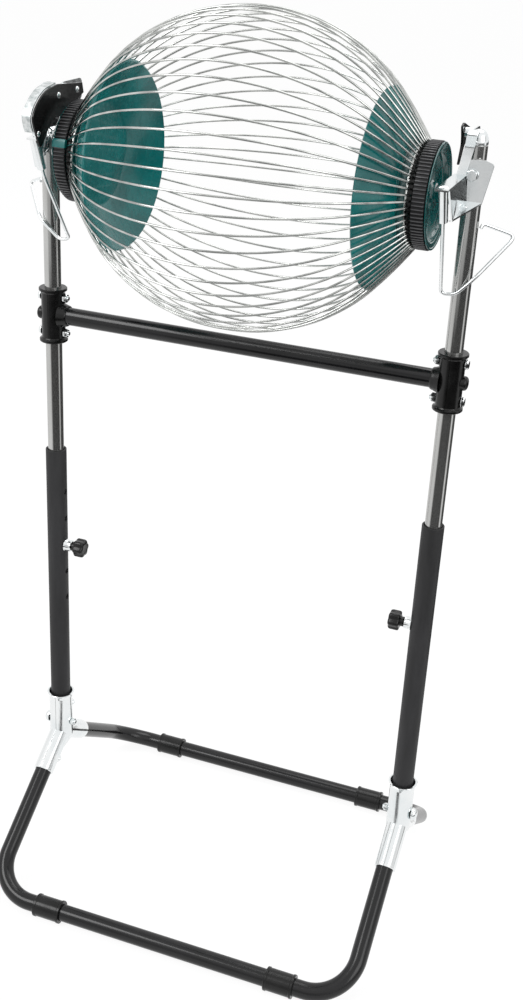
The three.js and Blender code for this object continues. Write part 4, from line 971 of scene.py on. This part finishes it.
# Latch on the left: plate, guard and spring
latchFront = [(0.47, 1), (0.263, 0.945), (0.163, 0.855), (0.08, 0.74), (0, 0.564), (0.014, 0.428)]
latchUnder = [(0.08, 0.161), (0.12, 0.01), (0.169, 0.068), (0.246, 0.199), (0.275, 0.31), (0.475, 0.307), (0.56, 0.43),
              (0.769, 0.6), (0.975, 0.754)]
latchCorner = (0.95, 0.93)
latchCurve = roundedPath([latchPoint(*share) for share in latchFront + latchUnder], 6, 5)
latchOutline = [tuple(place) for place in latchCurve] + [latchPoint(*latchCorner)]
guardPath = roundedPath([latchPoint(*share) for share in latchFront + [(0.05, 0.3)]], 6, 5)
guardShape = strip(guardPath, -sheet, cradleInnerX, cradleInnerX + latch["guardWidth"])
studY, studZ = latchPoint(*latch["stud"])
pivotHole = roundBar((latchInnerX - 3, *latchPivot), (1, 0, 0), pivot["pin"] + 0.4, 9, 0.1)
# Rivets on the plate: (rearwards, above the axle, radius)
plateRivets = [(-22.8, 54.3, 2.9), (-63.3, 23.9, 2.6)]
latchRivets = combine(
    roundBar((springX - 1.2, studY, studZ), (1, 0, 0), latch["studRadius"], latchOuterX - springX),
    rivetHead((springX - 1.1, studY, studZ), (-1, 0, 0), 2.2, 0.8),
    *[rivetHead((latchInnerX, y, axleZ + rise), (-1, 0, 0), radius, 1.2) for y, rise, radius in plateRivets],
)
makePiece("leftLatchPlate", flipped(plate(latchOutline, latchInnerX, latchOuterX, 0)), "latchBlack", "left_latch",
          ["left_latch_plate"], cutters=[(flipped(pivotHole), "DIFFERENCE")], bevel=0.3)
makePiece("leftLatchRivets", flipped(latchRivets), "zinc", "left_latch")
makePiece("leftLatchGuard", flipped(guardShape), "guardZinc", "left_latch", ["left_latch_guard"], bevel=0.3)

coil = {"wire": 0.45, "radius": 1.8, "curls": 6, "pitch": 1.75, "perCurl": 20}


def springPath():
    # Hook round the stud, helix = axis point + radius * (cos, sin), hook round the foot post.
    top = np.array([springX, studY, studZ])
    down = springFoot - top
    reach = np.linalg.norm(down)
    down /= reach
    across = np.array([1.0, 0, 0])
    aside = np.cross(down, across)
    upperHook = latch["studRadius"] + 0.3 + coil["wire"]
    lowerHook = springFootRadius + 0.3 + coil["wire"]
    length = coil["curls"] * coil["pitch"]
    start = (reach + upperHook - lowerHook - length) / 2
    turn = np.linspace(-math.pi, math.pi / 6, 18)[:, None]
    upper = top + down * upperHook * np.sin(turn) + aside * upperHook * np.cos(turn)
    share = np.linspace(0, 1, coil["curls"] * coil["perCurl"])[:, None]
    angle = share * coil["curls"] * 2 * math.pi
    helix = top + down * (start + share * length) + aside * coil["radius"] * np.cos(angle)
    helix += across * coil["radius"] * np.sin(angle)
    back = turn[::-1]
    lower = springFoot - down * lowerHook * np.sin(back) + aside * lowerHook * np.cos(back)
    return np.concatenate([upper, helix, lower])


def freeTube(path, radius, sides):
    # A tube whose side direction is carried along the path by taking out each new tangent's share.
    tangent = unitTangents(path)
    sideways = np.zeros_like(path)
    current = axisFrame(tangent[0])[1]
    for station, direction in enumerate(tangent):
        current = current - direction * (current @ direction)
        current /= np.linalg.norm(current)
        sideways[station] = current
    up = np.cross(tangent, sideways)
    angle = np.arange(sides) * 2 * math.pi / sides
    ring = np.cos(angle)[None, :, None] * sideways[:, None] + np.sin(angle)[None, :, None] * up[:, None]
    ends = np.stack([np.repeat(path[:1], sides, 0), np.repeat(path[-1:], sides, 0)])
    points = np.concatenate([ends[:1], path[:, None] + radius * ring, ends[1:]])
    return points.reshape(-1, 3), gridFaces(len(path) + 2, sides)


def springPiece():
    # Stretches from its foot on the upper frame to the stud on the latch.
    piece = newObject("leftLatchSpring", flipped(freeTube(springPath(), coil["wire"], 10)), 60)
    piece.data.materials.append(finishes["zinc"])
    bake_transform(piece)
    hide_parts("left_latch_spring")


springPiece()
springLoop = {"long": 6.3, "short": 3.8, "wire": 1.0, "centre": (188.3, -40.5, 846.5), "along": (-0.537, 0, -0.844)}


def loopShape():
    # Place on the loop = centre + long * cos t along its slant + short * sin t rearwards.
    along, rear = np.array(springLoop["along"]), np.array([0, 1.0, 0])
    normal = np.cross(along, rear)
    turn = np.arange(48)[:, None] * 2 * math.pi / 48
    spine = springLoop["long"] * np.cos(turn) * along + springLoop["short"] * np.sin(turn) * rear
    outward = springLoop["short"] * np.cos(turn) * along + springLoop["long"] * np.sin(turn) * rear
    outward /= np.linalg.norm(outward, axis=1)[:, None]
    section = (np.arange(12) * 2 * math.pi / 12)[None, :, None]
    points = spine[:, None] + springLoop["wire"] * (np.cos(section) * outward[:, None] + np.sin(section) * normal)
    points = np.concatenate([points, points[:1]]) + np.array(springLoop["centre"])
    return points.reshape(-1, 3), gridFaces(49, 12)


makePiece("leftSpringLoop", flipped(loopShape()), "zinc", "upper_frame", sharpAngle=60)

# Keeper plate on the right; corners are (rearwards, upwards) from its pin
keeper = [(-11, -28), (-3.5, -11.3), (-6, -3), (-11, 6.5), (-4, 9), (36, -2.5), (32, -10), (6, -12), (-8, -28)]
keeperOutline = roundedOutline([(keeperPin[0] + back, keeperPin[1] + rise) for back, rise in keeper], 2.5, 4)
keeperHole = roundBar((latchInnerX - 3, *keeperPin), (1, 0, 0), pivot["pin"] + 0.3, 9, 0.1)
makePiece("rightKeeperPlate", plate(keeperOutline, latchInnerX, latchOuterX, 0), "latchBlack", "upper_frame",
          ["right_keeper_plate"], cutters=[(keeperHole, "DIFFERENCE")], bevel=0.3)
print("latch and keeper are made")

# Bails: corners are (outward from the post's line, towards the rear, below the axle)
bail = {
    "right": [(-16.4, -12.6, 85.6), (-3, -12.4, 84.8), (10.8, -9, 70.4), (41, 18, 31), (12.5, 3, 20.5)],
    "left": [(-27, -12.8, 86.6), (-15.5, -12.8, 88.4), (7.6, -10.4, 70.5), (36, 22, 43), (13.5, 3, 33.5)],
    "ends": {"right": 24, "left": 35.5}, "bend": 9, "exit": 6,
}


def bailPath(side):
    # Down through the knuckle, round its corners and back to the post.
    way = (knuckleBottom - knuckleTop) / np.linalg.norm(knuckleBottom - knuckleTop)
    corners = [knuckleTop + way * 0.3, knuckleBottom + way * bail["exit"]]
    corners += [np.array([postX + out, y, axleZ - drop]) for out, y, drop in bail[side]]
    corners.append(np.array([postX + chromeRadius + 0.6 + bailRadius, 0, axleZ - bail["ends"][side]]))
    return roundedPath(corners, bail["bend"], 14)


for side, turnedTo in (("right", tuple), ("left", flipped)):
    bailShape = turnedTo(freeTube(bailPath(side), bailRadius, 20))
    makePiece(side + "Bail", bailShape, "zinc", side + "_bail", [side + "_bail"], sharpAngle=60)
print("bails are made")

# Cage wires and the hoops they end in
cage = {
    "half": 168.2, "radius": 148.2, "wire": 1.05, "count": 56, "hoopX": 163.5, "hoopWire": 1.7, "core": 42.5,
    "steps": 44, "blendX": 130, "endX": 168.3, "endRadius": 46.5, "endSlope": -1.4,
}
hoopRadius = cage["core"] + 0.3 + cage["hoopWire"]


def wireShape(angle):
    # radius = full * sqrt(1 - (x / half)^2) up to blendX, then a cubic to the band's side.
    full, half, start, end = cage["radius"], cage["half"], cage["blendX"], cage["endX"]
    middleX = half * np.sin(np.linspace(-math.asin(start / half), math.asin(start / half), cage["steps"]))
    middleRadius = full * np.sqrt(1 - (middleX / half) ** 2)
    slope = -full ** 2 * start / (half ** 2 * middleRadius[-1])
    share = np.linspace(0, 1, 12)[1:]
    run, square, cube = end - start, share ** 2, share ** 3
    endRadius = ((2 * cube - 3 * square + 1) * middleRadius[-1] + (cube - 2 * square + share) * run * slope
                 + (3 * square - 2 * cube) * cage["endRadius"] + (cube - square) * run * cage["endSlope"])
    endX = start + run * share
    x = np.concatenate([-endX[::-1], middleX, endX])
    radius = np.concatenate([endRadius[::-1], middleRadius, endRadius])
    path = np.stack([x, axleY + radius * math.cos(angle), axleZ + radius * math.sin(angle)], 1)
    return tube(path, cage["wire"], 10, (0, -math.sin(angle), math.cos(angle)), 0.3)


def hoopShape(x):
    # A ring of round wire about the axle.
    turn = np.arange(96) * 2 * math.pi / 96
    section = np.arange(12) * 2 * math.pi / 12
    radius = hoopRadius + cage["hoopWire"] * np.cos(section)[None, :]
    along = x + cage["hoopWire"] * np.sin(section)[None, :] + 0 * turn[:, None]
    points = np.stack([along, axleY + radius * np.cos(turn)[:, None], axleZ + radius * np.sin(turn)[:, None]], -1)
    points = np.concatenate([points, points[:1]])
    return points.reshape(-1, 3), gridFaces(97, 12)


wireAngles = (np.arange(cage["count"]) + 0.5) * 2 * math.pi / cage["count"]
sectors = ("upper_rear", "upper_front", "lower_front", "lower_rear")
for index, sector in enumerate(sectors):
    share = cage["count"] // len(sectors)
    shapes = [wireShape(angle) for angle in wireAngles[index * share:(index + 1) * share]]
    words = "".join(word.capitalize() for word in sector.split("_"))
    makePiece("cageWires" + words, combine(*shapes), "wire", "cage", ["cage_wires_" + sector], sharpAngle=60)
makePiece("rightHoop", hoopShape(cage["hoopX"]), "wire", "cage", sharpAngle=60)
makePiece("leftHoop", hoopShape(-cage["hoopX"]), "wire", "cage", sharpAngle=60)
print("cage wires are made")

# Dishes inside both ends of the cage
dish = {"rimX": 129, "endX": 156, "wall": 2.4, "rimGap": 3.2, "endGap": 4}


def dishShape():
    # Outside = the wires' ellipse less a gap that widens towards the end, inside = a wall further in.
    share = np.linspace(0, 1, 24)
    x = dish["rimX"] + (dish["endX"] - dish["rimX"]) * share
    gap = dish["rimGap"] + (dish["endGap"] - dish["rimGap"]) * share
    outer = cage["radius"] * np.sqrt(1 - (x / cage["half"]) ** 2) - 1.2 - gap
    inner = outer - dish["wall"]
    outside = np.stack([outer, x], 1)
    inside = np.stack([inner, x - dish["wall"] / 2], 1)[::-1]
    inside[0, 1] = dish["endX"] - dish["wall"]
    lip = [(inner[0] + 0.3, x[0] - 1.5), (outer[0] - 0.5, x[0] - 0.6)]
    back = [(outer[-1] - 4, dish["endX"]), (0, dish["endX"])]
    profile = np.concatenate([outside, back, [(0, dish["endX"] - dish["wall"])], inside, lip, outside[:1]])
    return turned(profile, (0, axleY, axleZ), (1, 0, 0), 128)


# The dishes take the brighter teal, painted light against the shade inside the cage.
bothSides("Dish", dishShape(), "paintedLightTeal", "cage", "dish", sharpAngle=35)

# Hubs with their axle stubs
hub = {
    "collarWidth": 4, "drum": 44.7, "rimRadius": 48.3, "leftRimRadius": 47, "rimWidth": 1.4, "recessRadius": 41.2,
    "recess": 7, "boss": 12, "bossRise": 4, "bandWidth": 12,
}
collarLow = cage["hoopX"] + cage["hoopWire"] + 0.3
bandLow = collarLow + hub["collarWidth"] + 0.3
rimLow = bandLow + hub["bandWidth"] + 0.3
hubFace = rimLow + hub["rimWidth"]
hubFloor = hubFace - hub["recess"]


def hubShape(rim):
    # Core, drum and rim outside, then the recessed face with its boss and the axle stub.
    core, inner, drum, boss = cage["core"], hub["recessRadius"], hub["drum"], hub["boss"]
    bossFace, stubEnd, inside = hubFloor + hub["bossRise"], cradle["outerX"], dish["endX"] + 0.3
    profile = [
        (0, inside), (core, inside), (core, collarLow), (drum, collarLow), (drum, rimLow + 0.4),
        (rim - 0.3, rimLow + 0.7), (rim, rimLow + 0.9), (rim, hubFace - 0.4), (rim - 0.15, hubFace - 0.15),
        (rim - 0.5, hubFace), (rim - 1.8, hubFace), (rim - 2.4, hubFace - 0.6), (inner + 0.7, hubFace - 0.8),
        (inner + 0.1, hubFace - 1.3),
        (inner - 0.3, hubFloor + 1.5), (inner - 1.2, hubFloor + 0.3), (inner - 2.5, hubFloor), (boss + 2, hubFloor),
        (boss + 0.5, hubFloor + 0.5), (boss, hubFloor + 1.5), (boss - 0.3, bossFace - 0.4), (boss - 1, bossFace),
        (axleRadius + 0.8, bossFace), (axleRadius, bossFace + 0.8), (axleRadius, stubEnd - 0.5),
        (axleRadius - 0.5, stubEnd), (0, stubEnd),
    ]
    return turned(profile, (0, axleY, axleZ), (1, 0, 0), 128)


makePiece("rightHub", hubShape(hub["rimRadius"]), "teal", "cage", ["right_hub"], sharpAngle=35)
makePiece("leftHub", flipped(hubShape(hub["leftRimRadius"])), "teal", "cage", ["left_hub"], sharpAngle=35)

# Dark collars that hold the wires' ends
collar = {"low": 165.3, "radius": 45.6, "edge": 0.5}


def collarShape():
    # Ring that steps outward over the hub's drum.
    inner, outer, high = cage["core"] + 0.05, hub["drum"] + 0.05, hub["collarWidth"] + collarLow
    profile = ringProfile(inner, collar["radius"], collar["low"], high, collar["edge"])[:-1]
    profile += [(outer, high), (outer, collarLow), (inner, collarLow)]
    return closedRing(profile, (0, axleY, axleZ), (1, 0, 0), 128)


makePiece("rightCollar", collarShape(), "plastic", "cage", sharpAngle=35)
makePiece("leftCollar", flipped(collarShape()), "plastic", "cage", sharpAngle=35)

# Tooth across the left band
tooth = {"low": 45, "high": 49.6, "from": 193, "to": 202.5}
turn = np.radians(np.linspace(tooth["from"], tooth["to"], 6))
arc = [(axleY + tooth["high"] * math.cos(a), axleZ - tooth["high"] * math.sin(a)) for a in turn]
arc += [(axleY + tooth["low"] * math.cos(a), axleZ - tooth["low"] * math.sin(a)) for a in turn[::-1]]
toothShape = plate(arc, bandLow - 0.4, rimLow + 0.9, 0)
makePiece("leftTooth", flipped(toothShape), "paintedLightTeal", "cage", bevel=0.5)

# Ribbed bands round the hubs
band = {"radius": 49, "ribs": 86, "depth": 1.5, "edge": 0.8, "narrow": 0.25, "floor": 2}


def bandShape():
    # Radius = full less depth times a smoothed square wave of the angle, faded out at both edges.
    width, edge, full, inner = hub["bandWidth"], band["edge"], band["radius"], hub["drum"] + 0.3

    def ribbed(radius, angle):
        wave = 1 / (1 + np.exp(-9 * (np.cos(band["ribs"] * angle) - band["narrow"])))
        onTop = np.clip((radius - inner - band["floor"]) / (full - inner - band["floor"]), 0, 1)
        return radius - band["depth"] * (1 - wave) * onTop

    profile = [(inner, 0), (full - 1.6, 0), (full - 0.4, edge * 0.4), (full, edge * 1.2), (full, width - edge * 1.2),
               (full - 0.4, width - edge * 0.4), (full - 1.6, width), (inner, width)]
    return closedRing(profile, (bandLow, axleY, axleZ), (1, 0, 0), band["ribs"] * 8, ribbed)


bothSides("Band", bandShape(), "rubber", "cage", "band", sharpAngle=50)
print("dishes, hubs and bands are made")

# Any CAD node that still shows takes the finish of its record slot
slotFinish = {"black_steel": "powder", "black_plastic": "plastic", "chrome": "chrome", "grip_rubber": "rubber",
              "teal_plastic": "teal", "cage_wire": "wire", "zinc_steel": "zinc"}
for entry in frame["record"]["subparts"]:
    solid = frame["nodes"][entry["node"]]
    solid.data.materials.clear()
    solid.data.materials.append(finishes[slotFinish[entry["material_slot"]]])
shownNodes = [name for name, solid in frame["nodes"].items() if not solid.hide_render]
print("CAD nodes still showing:", shownNodes)

# Floor, sky and lamps
stage = {
    "floorHalf": 40.0, "floorZ": -0.0002, "white": 0.86, "showThrough": 0.8, "glow": 1.12, "skyStrength": 0.5,
    "roomLow": 0.55, "ringFrom": 0.72, "ringTo": 7.0, "soft": 0.15, "palePatch": (-0.6, -4.2, 0), "patchRadius": 2.2,
}
# What polished metal sees of the floor and of the sky round the object: (degrees round +Z from +X, brightness)
surround = [(-180, 1.0), (-126, 1.0), (-108, 0.03), (-8, 0.02), (0, 1.0), (13, 1.0), (22, 0.03), (88, 0.03), (98, 1.0),
            (180, 1.0)]
skyStops = [(0.0, 0.9), (0.14, 1.0), (0.24, stage["roomLow"]), (0.34, 1.0), (0.45, stage["roomLow"]), (0.56, 0.9),
            (0.72, 1.0), (0.86, 1.0), (1.0, 0.9)]


def greyRamp(tree, parts, stops):
    # Grey level by the angle round +Z, with the whole turn as 0 to 1.
    turn = mathNode(tree, "ARCTAN2", parts["Y"], parts["X"])
    share = spread(tree, turn, 0, 1, -math.pi, math.pi)
    return addRamp(tree, share, [(position, (level,) * 3) for position, level in stops])


def mixShaders(tree, share, first, second):
    return addNode(tree, "ShaderNodeMixShader", {0: share, 1: first.outputs[0], 2: second.outputs[0]})


def surroundShade(tree):
    # Brightness = 1 - inRing * (1 - ramp of the angle), with a pale patch in front of the right cradle.
    place = addNode(tree, "ShaderNodeTexCoord").outputs["Object"]
    parts = addNode(tree, "ShaderNodeSeparateXYZ", {0: place}).outputs
    level = greyRamp(tree, parts, [((degrees + 180) / 360, level) for degrees, level in surround])
    distance = addNode(tree, "ShaderNodeVectorMath", {0: place}, operation="LENGTH").outputs["Value"]
    inside = spread(tree, distance, 0, 1, stage["ringFrom"], stage["ringFrom"] + stage["soft"])
    outside = spread(tree, distance, 1, 0, stage["ringTo"], stage["ringTo"] + stage["soft"])
    toPatch = addNode(tree, "ShaderNodeVectorMath", {0: place, 1: stage["palePatch"]}, operation="DISTANCE")
    offPatch = spread(tree, toPatch.outputs["Value"], 0.35, 1, stage["patchRadius"] * 0.6, stage["patchRadius"])
    inRing = mathNode(tree, "MULTIPLY", mathNode(tree, "MULTIPLY", inside, outside), offPatch)
    return mathNode(tree, "SUBTRACT", 1.0, mathNode(tree, "MULTIPLY", inRing, mathNode(tree, "SUBTRACT", 1.0, level)))


def makeFloor():
    # Pale floor that shows itself by its glow to the camera and by the surround to polished metal.
    mesh = bpy.data.meshes.new("floor")
    half, low = stage["floorHalf"], stage["floorZ"]
    corners = [(-half, -half, low), (half, -half, low), (half, half, low), (-half, half, low)]
    mesh.from_pydata(corners, [], [[0, 1, 2, 3]])
    floor = bpy.data.objects.new("floor", mesh)
    bpy.context.scene.collection.objects.link(floor)
    material, tree, shader = newFinish("paleFloor")
    shader.inputs["Base Color"].default_value = (stage["white"], stage["white"], stage["white"], 1)
    shader.inputs["Roughness"].default_value = 0.9
    shader.inputs["Specular IOR Level"].default_value = 0.1
    rays = addNode(tree, "ShaderNodeLightPath").outputs
    glossy = rays["Is Glossy Ray"]
    seen = mathNode(tree, "ADD", rays["Is Camera Ray"], rays["Is Transmission Ray"])
    mirrored = mathNode(tree, "MULTIPLY", glossy, surroundShade(tree))
    strength = mathNode(tree, "ADD", mirrored, mathNode(tree, "MULTIPLY", seen, stage["glow"]))
    glow = addNode(tree, "ShaderNodeEmission", {"Color": (1, 1, 1, 1), "Strength": strength})
    share = mathNode(tree, "MAXIMUM", mathNode(tree, "MULTIPLY", seen, stage["showThrough"]), glossy)
    blend = mixShaders(tree, share, shader, glow)
    tree.links.new(blend.outputs[0], tree.nodes["Material Output"].inputs["Surface"])
    mesh.materials.append(material)


def makeSky():
    # White to the camera and overhead; in reflections it falls off a little behind and beside the object.
    world = bpy.data.worlds.new("studio")
    bpy.context.scene.world = world
    world.use_nodes = True
    tree = world.node_tree
    base = tree.nodes["Background"]
    base.inputs["Color"].default_value = (1, 1, 1, 1)
    base.inputs["Strength"].default_value = stage["skyStrength"]
    white = addNode(tree, "ShaderNodeBackground", {"Color": (1, 1, 1, 1), "Strength": 1.0})
    way = addNode(tree, "ShaderNodeTexCoord").outputs["Generated"]
    parts = addNode(tree, "ShaderNodeSeparateXYZ", {0: way}).outputs
    overhead = spread(tree, parts["Z"], 0, 1, 0.2, 0.45)
    level = mathNode(tree, "MAXIMUM", greyRamp(tree, parts, skyStops), overhead)
    room = addNode(tree, "ShaderNodeBackground", {"Color": level, "Strength": 1.0})
    rays = addNode(tree, "ShaderNodeLightPath").outputs
    glossy = mixShaders(tree, rays["Is Glossy Ray"], base, room)
    final = mixShaders(tree, rays["Is Camera Ray"], glossy, white)
    tree.links.new(final.outputs[0], tree.nodes["World Output"].inputs["Surface"])


def addLamp(name, place, target, size, power):
    data = bpy.data.lights.new(name, "AREA")
    data.size = size
    data.energy = power
    lamp = bpy.data.objects.new(name, data)
    bpy.context.scene.collection.objects.link(lamp)
    direction = Vector(target) - Vector(place)
    turn = direction.to_track_quat("-Z", "Y").to_matrix().to_4x4()
    lamp.matrix_world = Matrix.Translation(place) @ turn


makeFloor()
makeSky()
addLamp("keyLamp", (-1.6, -1.8, 2.6), (0, 0, 0.5), 1.4, 32)
addLamp("fillLamp", (2.2, -1.2, 1.6), (0, 0, 0.6), 1.6, 16)
addLamp("topLamp", (0.2, 0.8, 2.8), (0, 0, 0.5), 1.6, 18)
bpy.context.scene.view_settings.view_transform = "Standard"
print("stage is set")
